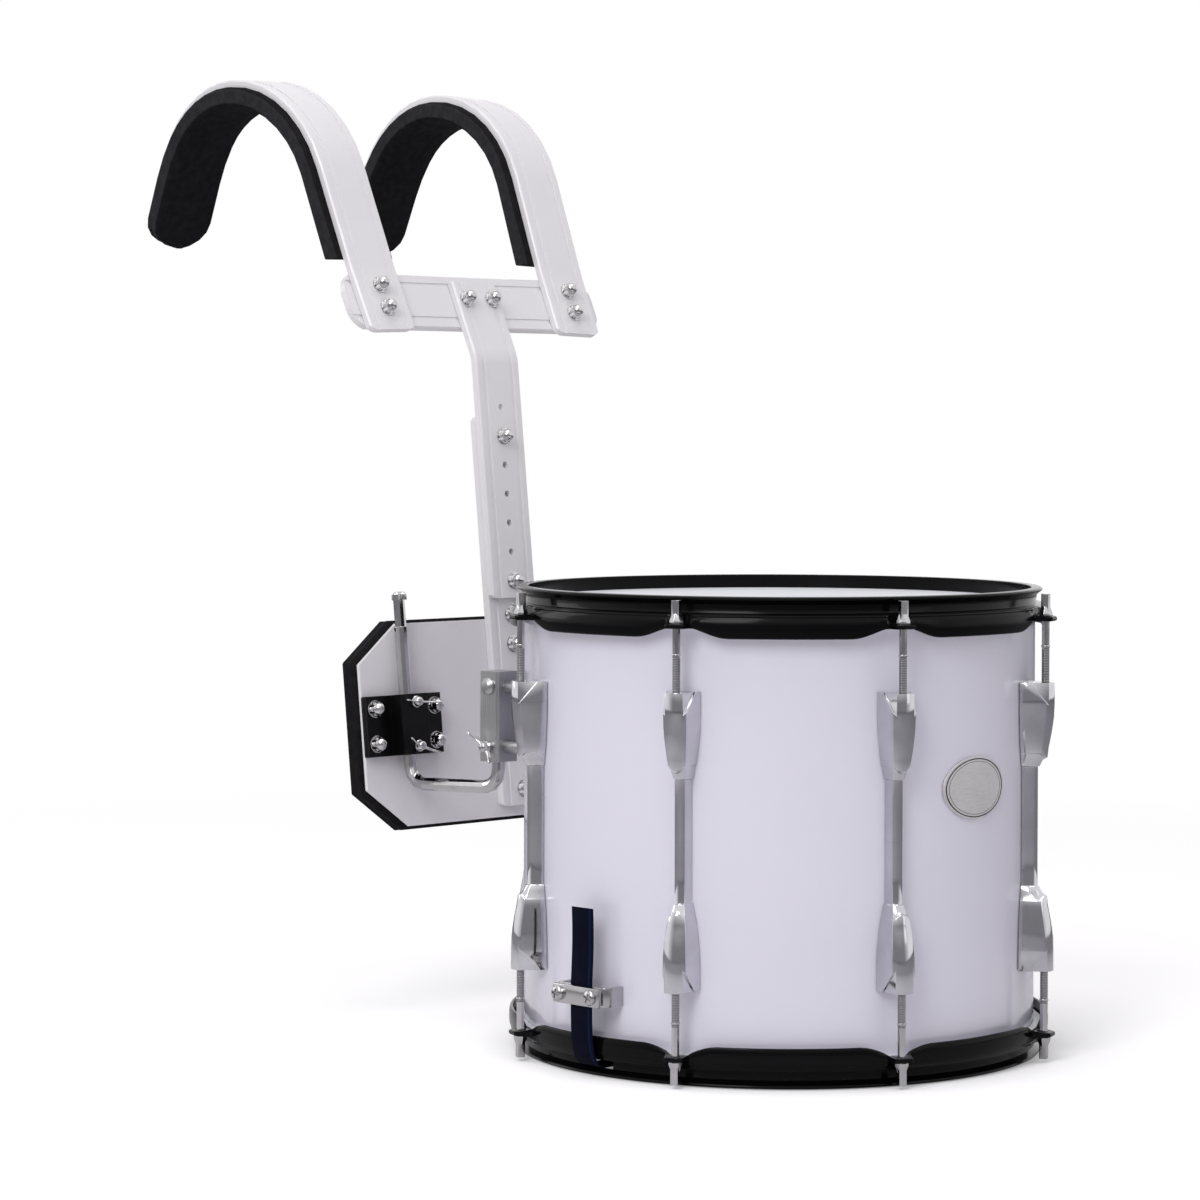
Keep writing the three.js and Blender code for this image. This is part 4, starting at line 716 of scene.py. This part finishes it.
def recessTool(side):  # cuts the shallow triangle at the rod's end of a side face
    seat, half = lugShape["seat"], lugShape["half"]
    base, front, depth = lugShape["stations"][0][1:]
    outward = Vector((side * depth, base - front, 0)).normalized()
    onFace = Vector((side * base, seat, half)) - outward * lugShape["recess"]
    backX, backY = lugShape["recessBack"]
    back = Vector((side * backX, seat + backY, half))
    foot = Vector((side * front, seat + depth, half - lugShape["recessDown"]))
    upward = (foot - back).cross(outward).normalized()
    upward = -upward if upward.z < 0 else upward
    x, y, down = lugShape["toolPlace"]
    middle = Vector((side * x, seat + y, half - down))
    reach = Vector(lugShape["toolSize"]) / 2
    tool = boxPiece(middle - reach, middle + reach)
    editAll(tool)
    for point, normal in ((onFace, outward), (back, upward)):
        bpy.ops.mesh.select_all(action="SELECT")
        bpy.ops.mesh.bisect(plane_co=point, plane_no=normal, use_fill=True, clear_inner=True)
    turnOutward()
    endEdit()
    return tool


def buildLug():
    lug = lugModel()
    for side in (-1, 1):
        cutAway(lug, recessTool(side))
    rodPlace = (0, lugShape["rodCircle"], lugShape["half"])
    cutAway(lug, cylinder(lugShape["socketSides"], lugShape["socket"], 2 * lugShape["socketDeep"], rodPlace))
    editAll(lug)
    bpy.ops.mesh.bisect(plane_co=(0, lugShape["seat"], 0), plane_no=(0, 0, 1), clear_inner=True)
    endEdit()
    other = lug.modifiers.new("otherEnd", "MIRROR")
    other.use_axis = (False, False, True)
    other.merge_threshold = lugShape["weld"]
    bevelOn(lug, "fine", lugShape["edge"], lugShape["edgeAngle"])
    applyAll(lug)
    smooth(lug, lugShape["smooth"])
    return lug


lugMiddle = (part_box("lug_1")[0].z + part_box("lug_1")[1].z) / 2
lugStep = 360 / lugShape["count"]
lugPattern = buildLug()
for number in range(lugShape["count"]):
    angle = -math.radians(lugShape["turn"] + number * lugStep)
    place = Matrix.Translation((0, axisY, lugMiddle)) @ Matrix.Rotation(angle, 4, "Z")
    casting = placedCopy(lugPattern, place)
    casting.name = "lugCasting_" + str(number + 1)
    register(casting, "castChrome", "drum", "lug_" + str(number + 1))
drop(lugPattern)
print("lugs ready")

# die-cast hoops: outlines as (radius, depth from the rim's end face), drawn for half of one rod's share
# of the ring, then mirrored and repeated. A curve says where the skirt's fall starts and ends, and its power
hoopShape = {
    "count": 8, "rodCircle": 0.1926, "height": 0.321, "ear": (0.005, 0.0098),
    "curves": {"top": (0.0075, 0.034, 1.4), "bottom": (0.0055, 0.028, 0.85)}, "curveFrom": 0.0144,
    "earUnder": 0.0208, "skirtDepth": 0.0274, "smooth": 30, "hole": 0.0032, "holeSides": 24,
    "holeHigh": 0.02, "holeDepth": 0.019,
    "inner": ((0.1843, 0.0153), (0.179, 0.0135), (0.1752, 0.0098), (0.1752, 0.0005), (0.1757, 0.0)),
    "rim": ((0.181, 0.0), (0.1821, 0.0004), (0.1827, 0.0013), (0.1824, 0.0022), (0.1803, 0.0037),
        (0.1788, 0.0052), (0.1785, 0.0094), (0.1792, 0.0109), (0.1806, 0.0115)),
    "skirt": ((0.185, 0.0116), (0.1863, 0.012), (0.1868, 0.0128), (0.1866, 0.0136), (0.187, 0.0144),
        (0.1877, 0.0158), (0.18795, 0.0192), (0.18795, 0.0228), (0.1877, 0.0256), (0.1872, 0.027),
        (0.1863, 0.0274), (0.1852, 0.0271)),
    "earRing": ((0.1846, 0.0116), (0.1855, 0.0121), (0.1859, 0.0136), (0.1861, 0.0158), (0.1864, 0.0171),
        (0.1874, 0.0174), (0.1976, 0.0174), (0.1988, 0.0179), (0.1992, 0.0191), (0.199, 0.0203),
        (0.198, 0.0208), (0.186, 0.0208)),
    "columns": (0.0, 0.0025, 0.005, 0.0056, 0.0063, 0.007, 0.0077, 0.0084, 0.0091, 0.0098, 0.0115, 0.0135,
        0.016, 0.019, 0.0225, 0.0265, 0.030, 0.034, 0.039, 0.0445, 0.050, 0.056, 0.062, 0.069, 0.07563),
}
gateShape = {"from": 0.174, "to": 0.184, "width": 0.032, "low": 0.0044, "high": 0.0109}


def hoopOutline(reach, curve):  # the outline at a distance along the ring from the rod
    earFrom, earTo = hoopShape["ear"]
    curveFrom, curveTo, curvePower = curve
    ease = min(max((reach - earFrom) / (earTo - earFrom), 0.0), 1.0)
    ear = (1 + math.cos(math.pi * ease)) / 2
    along = min(max((reach - curveFrom) / (curveTo - curveFrom), 0.0), 1.0)
    fall = math.sin(math.pi / 2 * along) ** curvePower
    start, under = hoopShape["curveFrom"], hoopShape["earUnder"]
    bottom = under + (hoopShape["skirtDepth"] - under) * fall
    stretch = (bottom - start) / (hoopShape["skirtDepth"] - start)
    ring = []
    for (radius, depth), (earRadius, earDepth) in zip(hoopShape["skirt"], hoopShape["earRing"]):
        depth = depth if depth < start else start + (depth - start) * stretch
        ring.append((radius + (earRadius - radius) * ear, depth + (earDepth - depth) * ear))
    return [*hoopShape["inner"], *hoopShape["rim"], *ring]


def hoopModel(curve):
    columns, rodCircle, height = hoopShape["columns"], hoopShape["rodCircle"], hoopShape["height"]
    outline = hoopOutline(columns[0], curve)
    hoop = drawOutline([(radius, 0, height - depth) for radius, depth in outline])
    for before, after in zip(columns, columns[1:]):
        turn, step = after / rodCircle, (after - before) / rodCircle
        extrudeBy(0, 0, 0)
        bpy.ops.transform.rotate(value=-step, orient_axis="Z", center_override=(0, 0, 0))
        outlineNext = hoopOutline(after, curve)
        for (radius, depth), (radiusNext, depthNext) in zip(outline, outlineNext):
            if abs(radius - radiusNext) + abs(depth - depthNext) > near / 10:
                place = Vector((radius * math.cos(turn), radius * math.sin(turn), height - depth))
                selectPoints(hoop, lambda co: (co - place).length < 2 * near)
                out = radiusNext - radius
                shift = (out * math.cos(turn), out * math.sin(turn), depth - depthNext)
                bpy.ops.transform.translate(value=shift)
        selectPoints(hoop, lambda co: abs(math.atan2(co.y, co.x) - turn) < 5 * near)
        outline = outlineNext
    bpy.ops.mesh.delete(type="ONLY_FACE")
    selectPoints(hoop, lambda co: abs(co.y) < near)
    bpy.ops.mesh.delete(type="ONLY_FACE")
    endEdit()
    half = hoop.modifiers.new("half", "MIRROR")
    half.use_axis = (False, True, False)
    half.merge_threshold = 2 * near
    applyAll(hoop)
    return hoop


def buildHoop(name, node, curve, gates):
    pattern = hoopModel(hoopShape["curves"][curve])
    share = math.tau / hoopShape["count"]
    turns = [Matrix.Rotation((i + 0.5) * share, 4, "Z") for i in range(hoopShape["count"])]
    hoop = joinAs(name, [placedCopy(pattern, turn) for turn in turns])
    drop(pattern)
    editAll(hoop)
    bpy.ops.mesh.remove_doubles(threshold=3 * near)
    turnOutward()
    endEdit()
    rodPlace = Vector((hoopShape["rodCircle"], 0, hoopShape["height"] - hoopShape["holeDepth"]))
    holes = [cylinder(hoopShape["holeSides"], hoopShape["hole"], hoopShape["holeHigh"], turn @ rodPlace)
             for turn in turns]
    cutAway(hoop, joinAs("holes", holes))
    if gates:  # the lower hoop is the same shape upside down, with a gate for the ribbon at each side
        hoop.scale = (1, 1, -1)
        hoop.location = (0, 0, hoopShape["height"])
        settle(hoop)
        editAll(hoop)
        turnOutward()
        endEdit()
        half = gateShape["width"] / 2
        for side in (1, -1):
            inner, outer = sorted((side * gateShape["from"], side * gateShape["to"]))
            cutAway(hoop, boxPiece((inner, -half, gateShape["low"]), (outer, half, gateShape["high"])))
    hoop.location = (0, axisY, 0)
    settle(hoop)
    smooth(hoop, hoopShape["smooth"])
    register(hoop, "blackEnamel", "drum", node)


buildHoop("topHoop", "top_hoop", curve="top", gates=False)
buildHoop("bottomHoop", "bottom_hoop", curve="bottom", gates=True)
print("hoops ready")

# rings between the smooth and the threaded part of each tension rod
rodRing = {"sides": 20, "radius": 0.0031, "high": 0.0013, "edge": 0.0003, "levels": (0.283, 0.0425)}


def buildRodRings():
    rings = []
    for i in range(lugShape["count"]):
        angle = math.radians(lugShape["turn"] + i * lugStep)
        x, y = lugShape["rodCircle"] * math.cos(angle), lugShape["rodCircle"] * math.sin(angle)
        for level in rodRing["levels"]:
            ring = cylinder(rodRing["sides"], rodRing["radius"], rodRing["high"], (x, axisY + y, level))
            finishEdges(ring, rodRing["edge"])
            rings.append(ring)
    register(joinAs("rodRings", rings), "brightChrome", "drum")


buildRodRings()
print("rod rings ready")

# snare ribbons: a flat strip drawn edge by edge along its way, from the free end to under the snare plate,
# the way as pairs of a distance from the axis and a height
ribbonShape = {
    "width": 0.02, "thick": 0.0008, "hem": 0.0003, "aside": 0.002, "out": 0.1937, "freeFoot": 0.0475,
    "freeSteps": 14, "clampTop": 0.0625, "wave": 0.0013, "waveTurn": 2.5, "edge": 50, "smooth": 40,
    "lower": ((0.1937, 0.046), (0.1936, 0.038), (0.1933, 0.0305), (0.1927, 0.0235), (0.1915, 0.0175),
        (0.1899, 0.0128), (0.1884, 0.0101), (0.1864, 0.0082), (0.1841, 0.007), (0.1815, 0.0064),
        (0.1732, 0.0064), (0.14, 0.0073)),
}


def ribbonLine(top):
    line = []
    for i in range(ribbonShape["freeSteps"]):
        height = top + (ribbonShape["freeFoot"] - top) * i / ribbonShape["freeSteps"]
        lift = max(0.0, (height - ribbonShape["clampTop"]) / (top - ribbonShape["clampTop"]))
        wave = ribbonShape["wave"] * math.sin(lift * ribbonShape["waveTurn"])
        line.append((ribbonShape["out"] - wave, height))
    return line + list(ribbonShape["lower"])


def ribbonModel(name, node, top, side):  # top is the height of the free end
    line = ribbonLine(top)
    (x, z), (nextX, nextZ) = line[:2]
    clearSelection()
    bpy.ops.mesh.primitive_plane_add(size=1, location=(0, 0, 0))
    strip = bpy.context.object
    strip.name = name
    strip.data.name = name
    strip.scale = (math.hypot(x - nextX, z - nextZ), ribbonShape["width"], 1)
    strip.rotation_euler = (0, math.atan2(z - nextZ, nextX - x), 0)
    strip.location = ((x + nextX) / 2, 0, (z + nextZ) / 2)
    settle(strip)
    bpy.ops.object.mode_set(mode="EDIT")
    selectPoints(strip, lambda co: co.z < (z + nextZ) / 2)
    for before, after in zip(line[1:], line[2:]):
        extrudeBy(after[0] - before[0], 0, after[1] - before[1])
    turnOutward()
    endEdit()
    if side < 0:
        strip.rotation_euler = (0, 0, math.pi)
    strip.location = (0, axisY + ribbonShape["aside"], 0)
    settle(strip)
    wall = strip.modifiers.new("wall", "SOLIDIFY")
    wall.thickness = ribbonShape["thick"]
    wall.offset = 0
    bevelOn(strip, "hem", ribbonShape["hem"], ribbonShape["edge"])
    applyAll(strip)
    smooth(strip, ribbonShape["smooth"])
    register(strip, "navyRibbon", "drum", node)


ribbonModel("clampedRibbon", "snare_ribbon", top=0.1128, side=1)
ribbonModel("jawRibbon", "strainer_ribbon", top=0.0738, side=-1)
print("ribbons ready")

# ribbon clamp: a bent stirrup, the plate that pinches the ribbon and two cross-head screws
clampShape = {
    "inner": 0.168, "outer": 0.1929, "wide": 0.048, "high": 0.013, "thick": 0.003, "bend": 0.006,
    "bendFrom": 0.18, "hollowFrom": 0.16, "past": 0.002, "bendSteps": 6, "shell": 0.1779, "shellCut": 0.05,
    "shellSides": 256, "edge": 0.0004, "plateWide": 0.0435, "plateInner": 0.1945, "plateThick": 0.003,
    "plateEdge": 0.001,
}
clampScrew = {
    "span": 0.0304, "aside": -0.001, "head": 0.005, "headSides": 28, "foot": 0.0016, "footMiddle": 0.0007,
    "dome": ((0.0005, 0.95), (0.0006, 0.88), (0.0005, 0.76), (0.0003, 0.5)), "slotLong": 0.0064,
    "slotWide": 0.0012, "slotFloor": 0.0019, "slotTop": 0.006, "turn": 25, "turnMore": 40, "smooth": 25,
    "shankSides": 12, "shank": 0.0018, "shankLong": 0.006, "shankBack": 0.0008,
}


def roundUpright(piece, reach, radius):  # rounds the upright edges that lie beyond a distance along X
    only(piece)
    bpy.ops.object.mode_set(mode="EDIT")
    bpy.ops.mesh.select_mode(type="EDGE")
    bpy.ops.mesh.select_all(action="DESELECT")
    mesh = bmesh.from_edit_mesh(piece.data)
    for edge in mesh.edges:
        first, second = (point.co for point in edge.verts)
        upright = abs(first.z - second.z) > clampShape["thick"] and abs(first.y - second.y) < near
        edge.select_set(upright and min(first.x, second.x) > reach)
    bmesh.update_edit_mesh(piece.data)
    bpy.ops.mesh.bevel(offset=radius, segments=clampShape["bendSteps"])
    bpy.ops.mesh.select_mode(type="VERT")
    endEdit()


def stirrupModel(level, top):
    shape, half, thick = clampShape, clampShape["wide"] / 2, clampShape["thick"]
    stirrup = boxPiece((shape["inner"], -half, level), (shape["outer"], half, top))
    roundUpright(stirrup, shape["bendFrom"], shape["bend"])
    hollow = boxPiece((shape["hollowFrom"], thick - half, level - shape["past"]),
                      (shape["outer"] - thick, half - thick, top + shape["past"]))
    roundUpright(hollow, shape["bendFrom"], shape["bend"] - thick)
    cutAway(stirrup, hollow)
    cutAway(stirrup, cylinder(shape["shellSides"], shape["shell"], shape["shellCut"], (0, 0, level)))
    finishEdges(stirrup, shape["edge"])
    return stirrup


def screwHead():
    screw = clampScrew
    head = cylinder(screw["headSides"], screw["head"], screw["foot"], (0, 0, screw["footMiddle"]))
    raiseTop(head, screw["dome"])
    for x, y in ((screw["slotLong"], screw["slotWide"]), (screw["slotWide"], screw["slotLong"])):
        cutAway(head, boxPiece((-x / 2, -y / 2, screw["slotFloor"]), (x / 2, y / 2, screw["slotTop"])))
    head.rotation_euler = (0, math.pi / 2, 0)
    settle(head)
    return head


def buildClamp():
    shape, screw = clampShape, clampScrew
    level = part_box("ribbon_clamp")[0].z
    top = level + shape["high"]
    stirrup = stirrupModel(level, top)
    inner, plateHalf = shape["plateInner"], shape["plateWide"] / 2
    face = inner + shape["plateThick"]
    plate = boxPiece((inner, -plateHalf, level), (face, plateHalf, top))
    finishEdges(plate, shape["plateEdge"])
    pieces = [stirrup, plate]
    for side in (-1, 1):
        y, z = screw["aside"] + side * screw["span"] / 2, (level + top) / 2
        head = screwHead()
        head.rotation_euler = (math.radians(screw["turn"] + screw["turnMore"] * side), 0, 0)
        head.location = (face, y, z)
        settle(head)
        smooth(head, screw["smooth"])
        shankPlace = (inner - screw["shankBack"], y, z)
        shank = cylinder(screw["shankSides"], screw["shank"], screw["shankLong"], shankPlace,
                         (0, math.pi / 2, 0))
        pieces += [head, shank]
    clamp = joinAs("ribbonStirrup", pieces)
    clamp.location = (0, axisY, 0)
    settle(clamp)
    register(clamp, "clampNickel", "drum", "ribbon_clamp")


buildClamp()
print("ribbon clamp ready")

# wing screws: a turned hub, two thin wings and a shank. A wing's steps are out, up, height and thickness
wingScrew = {
    "hub": 0.0043, "hubSides": 20, "hubFoot": 0.0022,
    "hubSteps": ((0.0006, 0.84), (0.003, 0.92), (0.0009, 0.78), (0.0005, 0.5)),
    "wingAt": (0.0035, 0, 0.0034), "wingRoot": (0.003, 0.00221, 0.0052),
    "wingSteps": ((0.0035, 0.0014, 0.85, 0.8), (0.0036, 0.0024, 0.95, 0.95), (0.0024, 0.0014, 0.78, 1.0),
        (0.0008, 0.0004, 0.6, 0.8)),
    "shank": 0.0024, "shankSides": 12, "shankLong": 0.0125, "shankMiddle": -0.0058, "soft": 2, "smooth": 40,
}
wingPlace = {
    "front": 0.0123, "up": 0.016, "turns": {"upper": 6, "lower": 24}, "boltX": 0.1233, "boltTurn": 48,
}


def wingBlade(side):
    x, y, z = wingScrew["wingAt"]
    middle, reach = Vector((side * x, y, z)), Vector(wingScrew["wingRoot"]) / 2
    wing = boxPiece(middle - reach, middle + reach)
    editAll(wing)
    selectFaces(wing, lambda normal: normal.x * side > facing)
    for out, rise, high, thick in wingScrew["wingSteps"]:
        extrudeBy(side * out, 0, rise)
        bpy.ops.transform.resize(value=(1, thick, high))
    turnOutward()
    endEdit()
    soften = wing.modifiers.new("soften", "SUBSURF")
    soften.levels = soften.render_levels = wingScrew["soft"]
    applyAll(wing)
    return wing


def wingModel():
    foot = wingScrew["hubFoot"]
    hub = cylinder(wingScrew["hubSides"], wingScrew["hub"], foot, (0, 0, foot / 2))
    raiseTop(hub, wingScrew["hubSteps"])
    wings = [wingBlade(side) for side in (1, -1)]
    shankPlace = (0, 0, wingScrew["shankMiddle"])
    shank = cylinder(wingScrew["shankSides"], wingScrew["shank"], wingScrew["shankLong"], shankPlace)
    model = joinAs("wingModel", [hub, *wings, shank])
    smooth(model, wingScrew["smooth"])
    return model


def wingPlaces():
    alongY = Matrix.Rotation(-math.pi / 2, 4, "X")
    places = []
    for side, word in ((1, "right"), (-1, "left")):
        for up, level in ((1, "upper"), (-1, "lower")):
            offset = (side * carrierShape["rodOffset"], wingPlace["front"], up * wingPlace["up"])
            spin = Matrix.Rotation(-math.radians(wingPlace["turns"][level]), 4, "Z")
            place = carrierMatrix() @ Matrix.Translation(offset) @ alongY @ spin
            places.append(("wing_screw_" + word + "_" + level, "clamp_screw_" + word + "_" + level, place))
        low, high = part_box("receiver_wing_bolt_" + word)
        bolt = Vector((side * wingPlace["boltX"], (low.y + high.y) / 2, (low.z + high.z) / 2))
        spin = Matrix.Rotation(side * math.radians(wingPlace["boltTurn"]), 4, "Z")
        outward = Matrix.Rotation(side * math.pi / 2, 4, "Y") @ spin
        place = Matrix.Translation(bolt) @ outward
        places.append(("receiver_wing_bolt_" + word, "receiver_bolt_" + word, place))
    return places


wingPattern = wingModel()
for node, body, place in wingPlaces():
    wing = placedCopy(wingPattern, place)
    wing.name = "wing_" + node
    register(wing, "brightChrome", body, node)
drop(wingPattern)
print("wing screws ready")

# knurled caps over the rods' ends
rodCap = {
    "radius": 0.0055, "high": 0.0064, "footShare": 0.62, "teeth": 26, "cut": 0.93, "down": 0.0062,
    "steps": ((0.0004, 0.93), (0.0011, 0.86), (0.0006, 0.66), (0.0002, 0.4)), "smooth": 30,
}


def capModel():
    foot = rodCap["high"] * rodCap["footShare"]
    cap = cylinder(2 * rodCap["teeth"], rodCap["radius"], foot, (0, 0, foot / 2))
    bpy.ops.object.mode_set(mode="EDIT")
    half = math.pi / rodCap["teeth"]
    selectPoints(cap, lambda co: round(math.atan2(co.y, co.x) / half) % 2 == 0)
    bpy.ops.transform.resize(value=(rodCap["cut"], rodCap["cut"], 1), center_override=(0, 0, 0))
    raiseTop(cap, rodCap["steps"])
    smooth(cap, rodCap["smooth"])
    return cap


capPattern = capModel()
for word in ("right", "left"):
    low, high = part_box("j_rod_" + word)
    top = Vector(((low.x + high.x) / 2, low.y + rodCap["radius"] * math.cos(postLean), high.z))
    down = Matrix.Translation((0, 0, -rodCap["down"]))
    cap = placedCopy(capPattern, Matrix.Translation(top) @ Matrix.Rotation(postLean, 4, "X") @ down)
    cap.name = "knurledCap_" + word
    register(cap, "brightChrome", "j_rods")
drop(capPattern)
print("rod caps ready")

# room, lamps and camera
floorShape = {
    "size": 12.0, "under": 0.0005, "lift": 0.22, "rough": 0.9, "pale": (0.86, 0.86, 0.86),
    "mirroredNear": (0.8, 0.8, 0.8), "mirroredFar": (0.34, 0.34, 0.35), "whiteFrom": 0.7, "whiteTo": 1.7,
    "sweepFrom": 0.3, "sweepTo": 0.9,
}
room = {
    "low": 0.28, "high": 0.47, "tint": (1.02, 1.0, 1.045), "climb": 0.55, "darkSide": (0.735, 0.678, 0.0),
    "darkFrom": 0.1, "darkTo": 0.75, "darkest": (0.26, 0.26, 0.273), "overheadFrom": 0.15, "overheadTo": 0.5,
}
black, white = (0.0, 0.0, 0.0), (1.0, 1.0, 1.0)


def floorMaterial(name):  # pale near the object, then white to the camera further away
    material = bpy.data.materials.new(name)
    material.use_nodes = True
    tree = material.node_tree
    shader = tree.nodes["Principled BSDF"]
    shader.inputs["Roughness"].default_value = floorShape["rough"]
    shader.inputs["Specular IOR Level"].default_value = 0.0
    shader.inputs["Emission Strength"].default_value = floorShape["lift"]
    rays = tree.nodes.new("ShaderNodeLightPath").outputs
    seen = rays["Is Camera Ray"]
    feed(tree, shader.inputs["Emission Color"], mixColour(tree, seen, black, white))
    where = tree.nodes.new("ShaderNodeTexCoord").outputs["Object"]
    away = vectorNode(tree, "LENGTH", where)["Value"]
    far = rangeOf(tree, away, floorShape["whiteFrom"], floorShape["whiteTo"], 0.0, 1.0)
    beyond = rangeOf(tree, away, floorShape["sweepFrom"], floorShape["sweepTo"], 0.0, 1.0)
    mirrored = mixColour(tree, beyond, floorShape["mirroredNear"], floorShape["mirroredFar"])
    plain = mixColour(tree, rays["Is Glossy Ray"], floorShape["pale"], mirrored)
    feed(tree, shader.inputs["Base Color"], mixColour(tree, seen, plain, white))
    glow = tree.nodes.new("ShaderNodeEmission")
    blend = tree.nodes.new("ShaderNodeMixShader")
    whiten = mathNode(tree, "MULTIPLY", far, seen)
    for socket, value in enumerate((whiten, shader.outputs[0], glow.outputs[0])):
        tree.links.new(value, blend.inputs[socket])
    tree.links.new(blend.outputs[0], tree.nodes["Material Output"].inputs[0])
    return material


def buildWorld(name):  # polished metal sees the white backdrop and the dark side of the studio
    world = bpy.data.worlds.new(name)
    bpy.context.scene.world = world
    world.use_nodes = True
    tree = world.node_tree
    rays = tree.nodes.new("ShaderNodeLightPath").outputs
    heading = tree.nodes.new("ShaderNodeTexCoord").outputs["Generated"]
    up = splitOf(tree, heading)[2]
    dim, bright = (tuple(room[level] * share for share in room["tint"]) for level in ("low", "high"))
    plain = mixColour(tree, rangeOf(tree, up, 0.0, room["climb"], 0.0, 1.0), dim, bright)
    towards = vectorNode(tree, "DOT_PRODUCT", heading, room["darkSide"])["Value"]
    shade = rangeOf(tree, towards, room["darkFrom"], room["darkTo"], 0.0, 1.0)
    overhead = rangeOf(tree, up, room["overheadFrom"], room["overheadTo"], 1.0, 0.0)
    mirrored = mixColour(tree, mathNode(tree, "MULTIPLY", shade, overhead), white, room["darkest"])
    roomSeen = mixColour(tree, rays["Is Glossy Ray"], plain, mirrored)
    cameraSeen = mathNode(tree, "MAXIMUM", rays["Is Camera Ray"], rays["Is Transmission Ray"])
    feed(tree, tree.nodes["Background"].inputs["Color"], mixColour(tree, cameraSeen, roomSeen, white))


clearSelection()
bpy.ops.mesh.primitive_plane_add(size=floorShape["size"], location=(0, 0, -floorShape["under"]))
floor = bpy.context.object
floor.name = "floor"
floor.data.materials.append(floorMaterial("paleFloor"))
buildWorld("paleRoom")

# each softbox: its place, its width and height, its power
softboxes = {
    "keyBox": ((2.3, 1.0, 2.0), (1.1, 1.6), 32.0),
    "fillBox": ((-0.6, 3.0, 1.3), (1.0, 1.6), 3.0),
    "sideBox": ((1.3, -2.6, 1.3), (1.0, 1.6), 8.0),
    "topBox": ((0.2, 0.1, 3.3), (2.2, 2.2), 31.0),
}
lampAim = Vector((0, 0.05, 0.33))
lampColour = (1.0, 0.985, 1.0)
for name, (place, size, power) in softboxes.items():
    light = bpy.data.lights.new(name, "AREA")
    light.shape = "RECTANGLE"
    light.size, light.size_y = size
    light.energy = power
    light.color = lampColour
    holder = linked(name, light)
    holder.location = place
    holder.rotation_euler = (lampAim - Vector(place)).to_track_quat("-Z", "Y").to_euler()

# the photo's camera, its place counted from the drum's axis on the floor
cameraFacts = {
    "place": (1.9068, 1.7602, 0.43585), "right": (-0.71294, 0.70123, 0.00189),
    "up": (-0.01599, -0.01894, 0.99969), "lens": 111.48, "sensor": 36, "shiftY": -0.0735,
}
camera = linked("camera", bpy.data.cameras.new("camera"))
right, up = Vector(cameraFacts["right"]).normalized(), Vector(cameraFacts["up"]).normalized()
turn = Matrix((right, up, right.cross(up))).transposed().to_4x4()
camera.matrix_world = Matrix.Translation(Vector(cameraFacts["place"]) + Vector((0, axisY, 0))) @ turn
camera.data.lens = cameraFacts["lens"]
camera.data.sensor_width = cameraFacts["sensor"]
camera.data.shift_y = cameraFacts["shiftY"]
bpy.context.scene.camera = camera
bpy.context.scene.view_settings.view_transform = "Standard"
print("room and camera ready")
